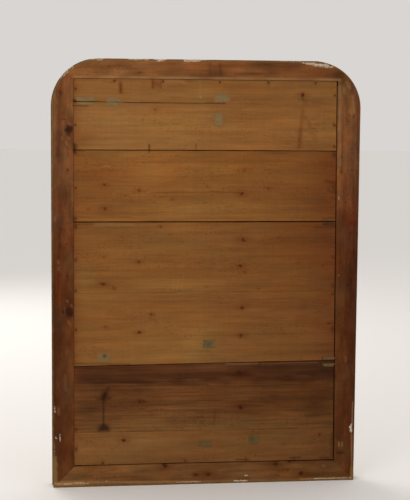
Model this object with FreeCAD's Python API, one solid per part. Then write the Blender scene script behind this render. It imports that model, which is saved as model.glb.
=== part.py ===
"""Arched gilt mirror with a boarded back.

A pine carcass, mitred behind and half lapped in front, has its two top corners rounded. Wide boards are
nailed across a recess in its back. In front, gilt mouldings with turned corners and a beaded slip hold the
mirror plate.

+Z is up, the glass faces -Y and the boarded back faces +Y, with the origin at the bottom centre of the whole.
Left and right are as seen from the back, so left is +X. All lengths are in millimetres.
"""

import FreeCAD, Part
import math
import os

from FreeCAD import Vector

# Whole frame
overall_width = 890.0
overall_height = 1230.0
sight_radius = 37.0

# Carcass: a land shows round the boards, and a ledge inside it carries them
carcass_thickness = 28.0
stile_land = 60.0
top_land = 54.0
bottom_land = 61.5
ledge_width = 22.0
recess_lean = 8.0
back_arris = 3.0
lap_share = 0.5

# Back boards, numbered from the top
board_thickness = 13.0
board_sink = 1.0
board_width = 203.0
board_width_shares = (0.979, 1.005, 1.002, 1.025, 0.973)
least_last_board = 50.0
board_arris = 0.8
joint_gap = 2.4
joint_gap_shares = (0.75, 1.2, 0.25, 0.9, 0.35)
slanted_joint = 4
joint_slant = 7.0
top_gap = 1.5
bottom_gap = 3.0
left_gap = 0.4
right_gap = 4.0

# Drying split in the top board, running in from its left end
split_length = 430.0
split_width = 1.6
split_drop = 2.5
split_up_share = 0.68

# Square cut nails: shares run up each board end, top board first, and across the back from its left
nail_head = 5.0
nail_head_height = 0.9
nail_crown = 2.2
nail_shank = 2.4
nail_point = 1.2
nail_inset = 5.0
nail_bite_share = 0.7
left_nail_shares = ((0.04, 0.35, 0.86), (0.04, 0.47, 0.965), (0.035, 0.47, 0.945), (0.5,), (0.05,), (0.5,))
right_nail_shares = ((0.06, 0.37, 0.8), (0.45, 0.95), (0.075, 0.49, 0.955), (0.45, 0.96), (0.5,), (0.5,))
top_nail_shares = (0.152, 0.335, 0.55, 0.736, 0.918)
bottom_nail_shares = (0.107, 0.422, 0.659, 0.847, 0.966)

# Mirror plate, and the softwood blocks glued in behind it
glass_thickness = 4.0
glass_clearance = 1.5
block_length = 60.0
block_width = 14.0
block_slack = 1.0
block_bevel_share = 0.6
side_block_shares = (0.15, 0.5, 0.85)
end_block_shares = (0.22, 0.78)

# Gilt moulding, measured inwards from the carcass edge and forwards from the carcass front
moulding_lip = 3.0
moulding_height = 27.0
edge_roll = 7.0
facets_per_quarter = 3
ogee_facets = 10
crest_flat = 5.0
crest_step = 3.0
ogee_foot = 9.0
astragal_radius = 3.0
frieze_width = 8.0
frieze_height = 8.0

# Beaded slip between the moulding and the glass
slip_seat = 4.0
slip_height = 10.0
slip_fillet = 2.5
bead_bed_width = 11.0
bead_bed_height = 5.5
sight_height = 7.0

# Paper tape patches, stuck over the split, the open joints and loose knots
tape_width = 27.0
tape_length = 43.0
tape_thickness = 0.4
tape_clearance = 1.5
# Each patch: how far across between the end nails and up the recess, then its size against the tape's
tape_place_shares = (
    (0.000, 0.941, 1.37, 1.03),
    (0.124, 0.942, 0.92, 1.04),
    (0.564, 0.954, 1.13, 1.05),
    (0.549, 0.898, 0.73, 1.57),
    (0.514, 0.317, 0.95, 1.09),
    (0.499, 0.053, 1.03, 0.77),
    (0.703, 0.062, 0.83, 1.11),
    (1.000, 0.266, 0.97, 1.21),
    (0.080, 0.286, 0.93, 0.97),
    (1.000, 0.635, 1.03, 0.86),
)

# Room that cutting tools reach past what they cut
overrun = 20.0

# Sizes that follow from those above
daylight_inset = max(stile_land, top_land, bottom_land) + ledge_width
moulding_width = daylight_inset - slip_seat
slip_width = bead_bed_width + 2 * slip_fillet
carcass_radius = sight_radius + moulding_width + slip_width
half_width = overall_width / 2 - moulding_lip
carcass_top = overall_height - moulding_lip
arc_centre_x = half_width - carcass_radius
arc_centre_z = carcass_top - carcass_radius
daylight_half = half_width - daylight_inset
daylight_top = carcass_top - daylight_inset
recess_half = half_width - stile_land
recess_bottom = bottom_land
recess_top = carcass_top - top_land
back_y = (carcass_thickness + moulding_height) / 2
front_y = back_y - carcass_thickness
lap_y = back_y - lap_share * carcass_thickness
board_back_y = back_y - board_sink
ledge_y = board_back_y - board_thickness
glass_back_y = front_y + glass_thickness
nail_length = board_thickness + nail_bite_share * (ledge_y - front_y)
board_left = recess_half - left_gap
nails_left = board_left - nail_inset


def slab(outline, y_low, y_high):
    """A closed outline of (x, z) points as a plate from one depth to another."""
    wire = Part.makePolygon([Vector(x, y_low, z) for x, z in outline + outline[:1]])
    return Part.Face(wire).extrude(Vector(0, y_high - y_low, 0))


def box(x_low, x_high, y_low, y_high, z_low, z_high):
    """A plain box between two corners."""
    return Part.makeBox(x_high - x_low, y_high - y_low, z_high - z_low, Vector(x_low, y_low, z_low))


def recess_right(z):
    """The right edge of the recess at a height: the right stile's land widens towards the top."""
    return -recess_half + recess_lean * (z - recess_bottom) / (recess_top - recess_bottom)


def board_right(z):
    """Where the right end of a board lies at a height."""
    return recess_right(z) + right_gap


def arched_outline():
    """The carcass outline on its front face: square at the bottom, rounded at both top corners."""
    crown = carcass_radius * math.sin(math.pi / 4)
    foot_right = Vector(-half_width, front_y, 0)
    foot_left = Vector(half_width, front_y, 0)
    spring_left = Vector(half_width, front_y, arc_centre_z)
    crown_left = Vector(arc_centre_x + crown, front_y, arc_centre_z + crown)
    top_left = Vector(arc_centre_x, front_y, carcass_top)
    top_right = Vector(-arc_centre_x, front_y, carcass_top)
    crown_right = Vector(-arc_centre_x - crown, front_y, arc_centre_z + crown)
    spring_right = Vector(-half_width, front_y, arc_centre_z)
    pieces = [
        Part.LineSegment(foot_right, foot_left),
        Part.LineSegment(foot_left, spring_left),
        Part.Arc(spring_left, crown_left, top_left),
        Part.LineSegment(top_left, top_right),
        Part.Arc(top_right, crown_right, spring_right),
        Part.LineSegment(spring_right, foot_right),
    ]
    return Part.Wire([piece.toShape() for piece in pieces])


def carcass_blank():
    """The whole carcass in one piece: worn back arris, daylight opening and board recess."""
    blank = Part.Face(arched_outline()).extrude(Vector(0, carcass_thickness, 0))
    back_edges = [edge for edge in blank.Edges if edge.BoundBox.YMin > lap_y]
    blank = blank.makeChamfer(back_arris, back_edges)
    y_before = front_y - overrun
    y_behind = back_y + overrun
    daylight = box(-daylight_half, daylight_half, y_before, y_behind, daylight_inset, daylight_top)
    recess = [
        (recess_right(recess_bottom), recess_bottom),
        (recess_half, recess_bottom),
        (recess_half, recess_top),
        (recess_right(recess_top), recess_top),
    ]
    return blank.cut(daylight).cut(slab(recess, ledge_y, y_behind))


def carcass_member(blank, mitred, lapped):
    """One stile or rail, cut out of the blank: a mitred layer behind and a lapped layer in front."""
    behind = slab(mitred, lap_y, back_y)
    before = slab(lapped, front_y, lap_y)
    return blank.common(behind.fuse(before)).removeSplitter()


def stile(blank, side):
    """A stile runs through to both ends of the carcass in its front layer."""
    outer = side * half_width
    inner = side * daylight_half
    mitred = [(outer, 0), (outer, carcass_top), (inner, daylight_top), (inner, daylight_inset)]
    lapped = [(outer, 0), (outer, carcass_top), (inner, carcass_top), (inner, 0)]
    return carcass_member(blank, mitred, lapped)


def rail(blank, z_outer, z_inner):
    """A rail stops between the stiles in its front layer."""
    shoulders = [(daylight_half, z_inner), (-daylight_half, z_inner)]
    mitred = [(-half_width, z_outer), (half_width, z_outer)] + shoulders
    lapped = [(-daylight_half, z_outer), (daylight_half, z_outer)] + shoulders
    return carcass_member(blank, mitred, lapped)


def carcass_members():
    """The four carcass members by name."""
    blank = carcass_blank()
    return {
        "left_stile": stile(blank, 1),
        "right_stile": stile(blank, -1),
        "top_rail": rail(blank, carcass_top, daylight_top),
        "bottom_rail": rail(blank, 0, daylight_inset),
    }


def joint_places():
    """The middle height of each joint from the top down, while enough is left for one more board."""
    bottom = recess_bottom + bottom_gap
    places = [recess_top - top_gap]
    while True:
        share = board_width_shares[(len(places) - 1) % len(board_width_shares)]
        place = places[-1] - board_width * share
        if place - bottom < least_last_board:
            return places[1:]
        places.append(place)


def board_corners():
    """For each board from the top down, its low and high edge at the left end and at the right end."""
    left_ends, right_ends = [recess_top - top_gap], [recess_top - top_gap]
    for joint, middle in enumerate(joint_places(), start=1):
        gap = joint_gap * joint_gap_shares[(joint - 1) % len(joint_gap_shares)]
        slant = joint_slant if joint == slanted_joint else 0
        for ends, tilt in ((left_ends, -slant / 2), (right_ends, slant / 2)):
            ends += [middle + tilt + gap / 2, middle + tilt - gap / 2]
    left_ends.append(recess_bottom + bottom_gap)
    right_ends.append(recess_bottom + bottom_gap)
    return [
        ((left_ends[i + 1], left_ends[i]), (right_ends[i + 1], right_ends[i]))
        for i in range(0, len(left_ends), 2)
    ]


def plain_board(left_end, right_end):
    """A board lying across the recess, with the arrises of its back taken off along its length."""
    outline = [
        (board_left, left_end[0]),
        (board_left, left_end[1]),
        (board_right(right_end[1]), right_end[1]),
        (board_right(right_end[0]), right_end[0]),
    ]
    board = slab(outline, ledge_y, board_back_y)
    behind = [edge for edge in board.Edges if edge.BoundBox.YMin > board_back_y - board_thickness / 2]
    long_edges = [edge for edge in behind if edge.BoundBox.XLength > recess_half]
    return board.makeChamfer(board_arris, long_edges)


def drying_split(left_end):
    """The wedge that the split leaves open: widest at the board's left end, closing as it runs in."""
    low, high = left_end
    z_end = low + split_up_share * (high - low)
    mouth = board_left + overrun
    outline = [
        (mouth, z_end - split_width / 2),
        (mouth, z_end + split_width / 2),
        (board_left - split_length, z_end - split_drop),
    ]
    return slab(outline, ledge_y - overrun, board_back_y + overrun)


def square_taper(x, z, y_first, first_size, y_last, last_size):
    """A square frustum along Y, centred on (x, z)."""
    squares = []
    for y, size in ((y_first, first_size), (y_last, last_size)):
        half = size / 2
        turns = ((-half, -half), (half, -half), (half, half), (-half, half), (-half, -half))
        squares.append(Part.makePolygon([Vector(x + dx, y, z + dz) for dx, dz in turns]))
    return Part.makeLoft(squares, True, True)


def shank_at(x, z):
    """The tapered shank of a nail, from under its head to its point."""
    return square_taper(x, z, board_back_y, nail_shank, board_back_y - nail_length, nail_point)


def head_at(x, z):
    """The faceted head of a nail, sitting on the back of a board."""
    return square_taper(x, z, board_back_y, nail_head, board_back_y + nail_head_height, nail_crown)


def nail_places(corners):
    """Where the nails stand, by group: both ends of every board, and the back's top and bottom edges."""
    left_nails, right_nails = [], []
    for number, ((left_low, left_high), (right_low, right_high)) in enumerate(corners):
        for share in left_nail_shares[number % len(left_nail_shares)]:
            left_nails.append((nails_left, left_low + share * (left_high - left_low)))
        for share in right_nail_shares[number % len(right_nail_shares)]:
            z = right_low + share * (right_high - right_low)
            right_nails.append((board_right(z) + nail_inset, z))
    edges = {}
    top_z = recess_top - top_gap - nail_inset
    bottom_z = recess_bottom + bottom_gap + nail_inset
    for name, z, shares in (("top", top_z, top_nail_shares), ("bottom", bottom_z, bottom_nail_shares)):
        across = board_right(z) - board_left
        edges[name + "_edge_nails"] = [(board_left + share * across, z) for share in shares]
    return {"left_end_nails": left_nails, "right_end_nails": right_nails, **edges}


def mirror_plate():
    """The glass: it stands on the bottom rail and lies against the back of the slip."""
    half = daylight_half - glass_clearance
    return box(-half, half, front_y, glass_back_y, daylight_inset, daylight_top - glass_clearance)


def glass_block(middle, inward, along):
    """A bevelled block glued to the inner edge of the carcass, behind the plate."""
    thick = ledge_y - glass_back_y - block_slack
    bevel = block_bevel_share * thick
    section = [
        (0, 0),
        (block_width, 0),
        (block_width, thick - bevel),
        (block_width - bevel, thick),
        (0, thick),
    ]
    start = middle - along * (block_length / 2) + Vector(0, glass_back_y, 0)
    points = [start + inward * across + Vector(0, deep, 0) for across, deep in section]
    return Part.Face(Part.makePolygon(points + points[:1])).extrude(along * block_length)


def glass_blocks():
    """Blocks up both sides and along the top and bottom of the plate."""
    up = Vector(0, 0, 1)
    across = Vector(1, 0, 0)
    blocks = []
    for side in (1, -1):
        for share in side_block_shares:
            z = daylight_inset + share * (daylight_top - daylight_inset)
            blocks.append(glass_block(Vector(side * daylight_half, 0, z), across * -side, up))
    for z, inward in ((daylight_inset, up), (daylight_top, up * -1)):
        for share in end_block_shares:
            x = -daylight_half + share * 2 * daylight_half
            blocks.append(glass_block(Vector(x, 0, z), inward, across))
    return Part.makeCompound(blocks)


def round_over(centre, radius, quarters):
    """Points of a tight carved round about a centre, from its outer side to its top.

    Two quarters carry it over the top and down again on its inner side.
    """
    count = quarters * facets_per_quarter
    angles = [math.pi - quarters * math.pi / 2 * step / count for step in range(count + 1)]
    return [(centre[0] + radius * math.cos(a), centre[1] + radius * math.sin(a)) for a in angles]


def ogee(start, end):
    """Points of a carved ogee, swelling from its start and hollow towards its end, all but the end itself."""
    points = []
    for step in range(ogee_facets):
        along = step / ogee_facets
        fall = (1 - math.cos(math.pi * along)) / 2
        points.append((start[0] + along * (end[0] - start[0]), start[1] + fall * (end[1] - start[1])))
    return points


def moulding_section():
    """The gilt moulding's section, as (inward, forward) points: edge roll, crest, ogee, astragal, frieze."""
    edge = -moulding_lip
    crest_start = edge + edge_roll
    crest_end = crest_start + crest_flat
    ogee_top = moulding_height - crest_step
    frieze_start = moulding_width - frieze_width
    astragal_middle = frieze_start - astragal_radius
    ogee_end = astragal_middle - astragal_radius
    return [
        (edge, 0),
        *round_over((crest_start, moulding_height - edge_roll), edge_roll, 1),
        (crest_end, moulding_height),
        *ogee((crest_end, ogee_top), (ogee_end, ogee_foot)),
        *round_over((astragal_middle, ogee_foot), astragal_radius, 2),
        (frieze_start, frieze_height),
        (moulding_width, frieze_height),
        (moulding_width, 0),
    ]


def slip_section():
    """The slip's section: outer fillet, the bed that carries the beads, and the rounded sight edge."""
    outer = moulding_width + slip_fillet
    inner = outer + bead_bed_width
    round_radius = slip_fillet / 2
    return [
        (moulding_width, 0),
        (moulding_width, slip_height),
        (outer, slip_height),
        (outer, bead_bed_height),
        (inner, bead_bed_height),
        *round_over((inner + round_radius, sight_height - round_radius), round_radius, 2),
        (inner + slip_fillet, 0),
    ]


def section_face(section, edge_point, inward):
    """A section stood on the carcass front at edge_point, reaching inwards and forwards."""
    forward = Vector(0, -1, 0)
    places = [edge_point + inward * across + forward * high for across, high in section + section[:1]]
    return Part.Face(Part.makePolygon(places))


def turned_corner(section, side):
    """A quarter ring of section, turned about the centre of a top corner."""
    centre = Vector(side * arc_centre_x, front_y, arc_centre_z)
    face = section_face(section, centre + Vector(0, 0, carcass_radius), Vector(0, 0, -1))
    return face.revolve(centre, Vector(0, 1, 0), side * 90)


def bottom_mitre_wedge():
    """The space between the two bottom mitres, from the front of the moulding to the carcass."""
    outline = [(-half_width, 0), (half_width, 0), (0, half_width)]
    return slab(outline, front_y - moulding_height - overrun, front_y + overrun)


def front_runs(section):
    """One section carried round the front: straight runs, turned top corners and mitred bottom corners."""
    wedge = bottom_mitre_wedge()
    runs = {}
    for name, side in (("left", 1), ("right", -1)):
        face = section_face(section, Vector(side * half_width, front_y, 0), Vector(-side, 0, 0))
        runs[name] = face.extrude(Vector(0, 0, arc_centre_z)).cut(wedge)
        runs["top_" + name + "_corner"] = turned_corner(section, side)
    top = section_face(section, Vector(-arc_centre_x, front_y, carcass_top), Vector(0, 0, -1))
    runs["top"] = top.extrude(Vector(2 * arc_centre_x, 0, 0))
    bottom = section_face(section, Vector(-half_width, front_y, 0), Vector(0, 0, 1))
    runs["bottom"] = bottom.extrude(Vector(2 * half_width, 0, 0)).common(wedge)
    return runs


def tape_patches():
    """Patches of tape lying on the boards, between the nails at their two ends."""
    outer_y = board_back_y + tape_thickness
    margin = nail_head / 2 + tape_clearance
    patches = []
    for across_share, up_share, long_share, tall_share in tape_place_shares:
        half_long = long_share * tape_length / 2
        half_tall = tall_share * tape_width / 2
        first_x = nails_left - margin - half_long
        z = recess_bottom + up_share * (recess_top - recess_bottom)
        last_x = board_right(z) + nail_inset + margin + half_long
        x = first_x + across_share * (last_x - first_x)
        patches.append(box(x - half_long, x + half_long, board_back_y, outer_y, z - half_tall, z + half_tall))
    return Part.makeCompound(patches)


def nailed_back(members):
    """The boards and their nails, with the nail holes cut through boards and carcass."""
    corners = board_corners()
    places = nail_places(corners)
    shanks = Part.makeCompound([shank_at(x, z) for group in places.values() for x, z in group])
    pieces = {name: member.cut(shanks) for name, member in members.items()}
    for number, (left_end, right_end) in enumerate(corners, start=1):
        board = plain_board(left_end, right_end)
        if number == 1:
            board = board.cut(drying_split(left_end))
        pieces[f"back_board_{number}"] = board.cut(shanks)
    for name, group in places.items():
        nails = [head_at(x, z).fuse(shank_at(x, z)).removeSplitter() for x, z in group]
        pieces[name] = Part.makeCompound(nails)
    return pieces


def all_pieces():
    """Every piece of the mirror by name."""
    pieces = nailed_back(carcass_members())
    pieces["tape_patches"] = tape_patches()
    pieces["mirror_glass"] = mirror_plate()
    pieces["glass_blocks"] = glass_blocks()
    for name, run in front_runs(moulding_section()).items():
        pieces[name + "_moulding"] = run
    for name, run in front_runs(slip_section()).items():
        pieces[name + "_slip"] = run
    return pieces


def write_pieces():
    """One STEP file for each piece, with a line on its solids and volume."""
    os.makedirs("parts", exist_ok=True)
    for name, shape in all_pieces().items():
        shape.exportStep(os.path.join("parts", name + ".step"))
        print(f"{name}: {len(shape.Solids)} solid(s), valid {shape.isValid()}, {shape.Volume:.0f} mm3")


write_pieces()
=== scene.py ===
# %% [markdown]
# # An arched gilt mirror, seen from its boarded back
# The mirror stands on its bottom edge. Its back is a stained pine carcass with six wide boards nailed into
# it, patched with gummed tape. Its front has a gilt moulding, a slip of pearls and an old mirror plate. The
# packed model gives the frame that everything below is built round, and it is loaded first because every
# size and place is read from it.

# %% Load the packed model
import math

import bmesh
import bpy
import numpy as np
from mathutils import Matrix, Vector


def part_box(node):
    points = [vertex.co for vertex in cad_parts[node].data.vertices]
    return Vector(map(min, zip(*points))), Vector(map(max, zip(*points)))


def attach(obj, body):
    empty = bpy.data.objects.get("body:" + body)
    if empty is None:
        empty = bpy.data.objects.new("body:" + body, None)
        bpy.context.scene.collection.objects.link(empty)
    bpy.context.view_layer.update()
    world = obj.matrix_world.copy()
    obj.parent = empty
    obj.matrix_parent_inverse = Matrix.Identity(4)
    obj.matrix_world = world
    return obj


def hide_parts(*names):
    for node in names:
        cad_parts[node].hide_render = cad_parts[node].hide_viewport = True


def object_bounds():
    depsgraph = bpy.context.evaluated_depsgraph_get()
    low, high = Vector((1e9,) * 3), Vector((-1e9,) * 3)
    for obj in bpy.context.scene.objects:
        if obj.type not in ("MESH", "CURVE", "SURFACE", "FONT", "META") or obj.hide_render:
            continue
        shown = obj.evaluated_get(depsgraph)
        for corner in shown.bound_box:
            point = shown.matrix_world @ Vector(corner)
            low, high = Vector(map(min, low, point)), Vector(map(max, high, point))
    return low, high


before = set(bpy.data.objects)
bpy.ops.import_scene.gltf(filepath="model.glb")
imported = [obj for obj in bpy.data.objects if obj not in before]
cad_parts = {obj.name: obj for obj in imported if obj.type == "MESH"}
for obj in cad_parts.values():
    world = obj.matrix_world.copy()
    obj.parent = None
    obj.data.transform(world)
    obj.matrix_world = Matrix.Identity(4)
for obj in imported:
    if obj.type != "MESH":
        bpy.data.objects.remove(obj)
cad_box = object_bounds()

MM = 0.001
print("CAD box", [round(v, 4) for corner in cad_box for v in corner])

# %% [markdown]
# ## Measures
# The carcass, the boards and the moulding are measured on the packed nodes, so that a resized part still
# dresses itself. Left is +X, as seen from the back, and the back faces +Y.

# %% Measure the frame
half_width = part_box("left_stile")[1].x
front_y, back_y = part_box("left_stile")[0].y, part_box("left_stile")[1].y
carcass_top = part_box("top_rail")[1].z
board_front_y, board_back_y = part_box("back_board_1")[0].y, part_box("back_board_1")[1].y
arc_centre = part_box("top_left_corner_moulding")[0]
carcass_radius = half_width - arc_centre.x
lip = cad_box[1].x - half_width
moulding_height = front_y - cad_box[0].y
print(f"half width {half_width:.4f}, top {carcass_top:.4f}, radius {carcass_radius:.4f}, lip {lip:.4f}")

# %% [markdown]
# ## Camera
# The photograph was taken with a long lens from a little above and a little to the left of the back. A
# camera could be placed by eye, but four corners of the outline fix it, so its place, turn and focal length
# are written as found. The same camera also tells where a pixel of the photograph lies on the back, which
# places knots and stains.

# %% Place the camera
photo_width, photo_height = 410, 500
focal_pixels = 1300
camera_place = Vector((0.45894, 3.71263, 1.06341))
camera_azimuth, camera_elevation, camera_roll = (math.radians(a) for a in (173.00886, 5.77777, 0.44716))
sensor_mm = 36

level, climb = math.cos(camera_elevation), math.sin(camera_elevation)
ahead = -Vector((math.sin(camera_azimuth) * level, -math.cos(camera_azimuth) * level, climb))
sideways = ahead.cross(Vector((0, 0, 1))).normalized()
upright = sideways.cross(ahead)
camera_right = sideways * math.cos(camera_roll) + upright * math.sin(camera_roll)
camera_up = upright * math.cos(camera_roll) - sideways * math.sin(camera_roll)


def placed(name, data):
    """A new object in the scene."""
    made = bpy.data.objects.new(name, data)
    bpy.context.scene.collection.objects.link(made)
    return made


camera_data = bpy.data.cameras.new("back_view")
camera_data.lens = focal_pixels * sensor_mm / max(photo_width, photo_height)
camera_data.sensor_width = sensor_mm
camera = placed("back_view", camera_data)
camera_turn = Matrix((camera_right, camera_up, -ahead)).transposed().to_4x4()
camera.matrix_world = Matrix.Translation(camera_place) @ camera_turn
bpy.context.scene.camera = camera


def on_back(pixel_x, pixel_y, depth=board_back_y):
    """The (x, z) point of the back that a pixel of the photograph shows, at a given depth."""
    across = (pixel_x - photo_width / 2) / focal_pixels
    down = (pixel_y - photo_height / 2) / focal_pixels
    ray = ahead + camera_right * across - camera_up * down
    point = camera_place + ray * ((depth - camera_place.y) / ray.y)
    return point.x, point.z


photo_middle = photo_width / 2, photo_height / 2
pixel_size = on_back(*photo_middle)[0] - on_back(photo_middle[0] + 1, photo_middle[1])[0]
print(f"lens {camera_data.lens:.1f} mm, one pixel is {pixel_size / MM:.2f} mm on the back")

# %% [markdown]
# ## Stage and light
# A library part is shown on a plain stage. A furnished room could be built round the mirror, but its colours
# would tint the gilding and the glass, so a pale floor carries the mirror and a pale world lies behind it.
# The light is soft: the world gives most of it, a lamp stands at the upper left of the back, and another
# lights the front. Together they light a plain board at about the level at which its colour is written. The
# nodes of materials and world could be clicked together by hand, but then nobody could read them here, so a
# small class gives each node a short call.

# %% Node helper
class NodeTree:
    """A tree of nodes, with short calls to add nodes, to feed their sockets and to reckon."""

    def __init__(self, tree):
        self.tree = tree

    def node(self, kind, inputs=(), **settings):
        made = self.tree.nodes.new(kind)
        for key, value in settings.items():
            setattr(made, key, value)
        for key, value in dict(inputs).items():
            self.feed(made.inputs[key], value)
        return made

    def feed(self, socket, value):
        if isinstance(value, bpy.types.NodeSocket):
            self.tree.links.new(value, socket)
        else:
            socket.default_value = value

    def math(self, operation, first, *others):
        for other in others:
            first = self.node("ShaderNodeMath", {0: first, 1: other}, operation=operation).outputs[0]
        return first

    def plus(self, *values):
        return self.math("ADD", *values)

    def times(self, *values):
        return self.math("MULTIPLY", *values)

    def most(self, *values):
        return self.math("MAXIMUM", *values)


print("calls of every tree:", *(call for call in vars(NodeTree) if not call.startswith("_")))


# %% Shader helper
class Finish(NodeTree):
    """One material, with short calls for the shader nodes that the finishes here are made of."""

    def __init__(self, name):
        self.material = bpy.data.materials.new(name)
        self.material.use_nodes = True
        super().__init__(self.material.node_tree)
        self.surface = self.tree.nodes["Principled BSDF"]

    def attribute(self, name, output="Vector"):
        return self.node("ShaderNodeAttribute", attribute_name=name).outputs[output]

    def parts(self, vector):
        return self.node("ShaderNodeSeparateXYZ", {0: vector}).outputs[:3]

    def place(self):
        return self.node("ShaderNodeTexCoord").outputs["Object"]

    def stretched(self, vector, scale):
        return self.node("ShaderNodeMapping", {"Vector": vector, "Scale": scale}).outputs[0]

    def noise(self, vector, scale=1.0, detail=2.0, roughness=0.5):
        sockets = {"Vector": vector, "Scale": scale, "Detail": detail, "Roughness": roughness}
        return self.node("ShaderNodeTexNoise", sockets).outputs["Fac"]

    def span(self, value, low, high, to_low=0.0, to_high=1.0):
        return self.node("ShaderNodeMapRange", {0: value, 1: low, 2: high, 3: to_low, 4: to_high}).outputs[0]

    def scaled(self, colour, factor):
        return self.node("ShaderNodeVectorMath", {0: colour, "Scale": factor}, operation="SCALE").outputs[0]

    def mix(self, factor, first, second, blend="MIX"):
        sockets = {0: factor, 6: first, 7: second}
        return self.node("ShaderNodeMix", sockets, data_type="RGBA", blend_type=blend).outputs[2]

    def bump(self, height, distance, strength):
        made = self.node("ShaderNodeBump", {"Height": height, "Distance": distance, "Strength": strength})
        self.feed(self.surface.inputs["Normal"], made.outputs[0])

    def give(self, **sockets):
        for key, value in sockets.items():
            self.feed(self.surface.inputs[key.replace("_", " ")], value)


print("calls of a finish:", *(call for call in vars(Finish) if not call.startswith("_")))


# %% Set the stage
def paint(red, green, blue):
    """A colour as it is seen on screen, in steps of 255, as the linear colour that shaders use."""
    linear = []
    for step in (red, green, blue):
        share = step / 255
        linear.append(share / 12.92 if share <= 0.04045 else ((share + 0.055) / 1.055) ** 2.4)
    return (*linear, 1.0)


pale_room, floor_grey = paint(217, 213, 210), paint(229, 226, 223)
floor_reach = 40.0

floor_mesh = bpy.data.meshes.new("pale_floor")
floor_corners = [(sx * floor_reach, sy * floor_reach, 0) for sx, sy in ((-1, -1), (1, -1), (1, 1), (-1, 1))]
floor_mesh.from_pydata(floor_corners, [], [(0, 1, 2, 3)])
floor = placed("pale_floor", floor_mesh)
floor_paint = Finish("floor_paint")
floor_paint.give(Base_Color=floor_grey, Roughness=0.9)
floor_mesh.materials.append(floor_paint.material)
print("the floor reaches", floor_reach, "m to each side")

# %% Light the world
world_level = 0.86
world_tint = (1.0, 0.98, 0.955, 1)

world = bpy.data.worlds.new("studio")
bpy.context.scene.world = world
world.use_nodes = True
sky = NodeTree(world.node_tree)
sky.tree.nodes.clear()
shed = sky.node("ShaderNodeBackground", {"Color": world_tint, "Strength": world_level}).outputs[0]
seen = sky.node("ShaderNodeBackground", {"Color": pale_room}).outputs[0]
rays = sky.node("ShaderNodeLightPath").outputs
looks = sky.most(*(rays[f"Is {kind} Ray"] for kind in ("Camera", "Glossy", "Transmission")))
chosen = sky.node("ShaderNodeMixShader", {0: looks, 1: shed, 2: seen}).outputs[0]
sky.node("ShaderNodeOutputWorld", {"Surface": chosen})
print("world level", world_level)

# %% Hang the lamps
lamp_tint = (1.0, 0.97, 0.93)
aim = Vector((0, 0, 0.65))


def hang_lamp(name, place, size, watts):
    """A soft square lamp that looks at the middle of the mirror."""
    lamp = bpy.data.lights.new(name, "AREA")
    lamp.size = size
    lamp.energy = watts
    lamp.color = lamp_tint
    holder = placed(name, lamp)
    turn = (aim - Vector(place)).to_track_quat("-Z", "Y").to_matrix().to_4x4()
    holder.matrix_world = Matrix.Translation(place) @ turn
    print(f"{name}: {size} m wide, {watts} W")


hang_lamp("key_lamp", (2.2, 3.2, 2.3), 1.8, 42)
hang_lamp("front_lamp", (1.6, -3.4, 2.6), 2.2, 60)
bpy.context.scene.view_settings.view_transform = "Standard"

# %% [markdown]
# ## Pine: knots and grain
# The boards are pine, nailed on as they came from one log, so the knots repeat at the same places in one
# board after another. Knots could be drawn by a noise texture, but then they would sit anywhere. Here they
# are read off the photograph, as pixels, and carried to the back. The fibres flow round each knot as water
# flows round a post.

# %% Where the knots are
# Pixel across, pixel down, radius in mm, and how dark the knot has become
board_knots = [
    (302.5, 95, 5, .9), (155.5, 109, 3.5, .6), (104.5, 184.8, 4, .8), (139, 190, 4, .8), (105, 209, 6, .7),
    (88, 209.7, 4, .4), (173, 198.8, 3, .5), (207, 186, 3, .5), (244.5, 170, 6, .45), (242, 193.5, 5, .9),
    (268.5, 188, 5, .5), (324, 168.7, 3, .4), (333, 186, 4, .5), (160.7, 226.6, 3, .6),
    (170.6, 235.8, 3, .4), (103.9, 256.4, 3, .6), (138.8, 262, 4, .85), (144.5, 259.2, 2.5, .4),
    (103, 283.6, 6, .8), (113.6, 289, 3, .5), (207, 287, 2.5, .5), (243.3, 239.4, 6, .75),
    (240.4, 265.4, 5, .85), (244.3, 271.5, 4, .5), (322.6, 265.3, 4, .5), (258.5, 288.5, 3, .4),
    (151.2, 314.6, 3.5, .8), (242.5, 307.8, 6, .8), (105.3, 326, 3, .7), (139, 332.5, 4.5, .85),
    (241, 335.7, 5, .85), (329, 323, 4, .5), (239.7, 372.7, 7.5, .9), (139.7, 402, 5, .6),
    (104.5, 397, 7, .85), (240.4, 406, 7.5, .9), (123.7, 441, 5.5, .9), (319.5, 435, 4.5, .7),
    (283.7, 444, 4, .4),
]
carcass_knots = [
    (68.3, 130.4, 11.5, 1), (69.4, 312, 12.5, 1), (60, 91.5, 4, .7), (67.7, 170, 3.5, .8),
    (60.5, 229.5, 4, .6), (67.5, 276, 4, .6), (342, 171.5, 3.2, .8), (342.3, 156.5, 2.8, .8),
    (350, 233, 4, .6), (357, 233, 3, .5), (348.8, 285, 6, .6), (140, 72.6, 3.5, .6), (165, 466.2, 7.5, 1),
    (196, 475.2, 5, .85), (208.4, 474.8, 6, .9), (275.6, 464.2, 6, .85), (289, 461.8, 4.5, .8),
    (301, 473.5, 7, .95), (287.8, 470, 5, .5),
]


def placed_knots(table, depth):
    """The knots of a table as rows of x, z, radius and darkness, in metres, on a plane of the back."""
    return np.array([(*on_back(px, py, depth), radius * MM, dark) for px, py, radius, dark in table])


board_knot_rows = placed_knots(board_knots, board_back_y)
carcass_knot_rows = placed_knots(carcass_knots, back_y)
print(len(board_knots), "knots in the boards,", len(carcass_knots), "in the carcass")

# %% How the grain flows
# A knot pushes fibres aside further along the grain than across it, is longer than wide, and has a halo
knot_reach, knot_length, halo_reach, halo_share = 2.2, 1.15, 1.9, 0.42
knot_heart, knot_rim, knot_lumps = 0.40, 1.35, 0.25


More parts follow.
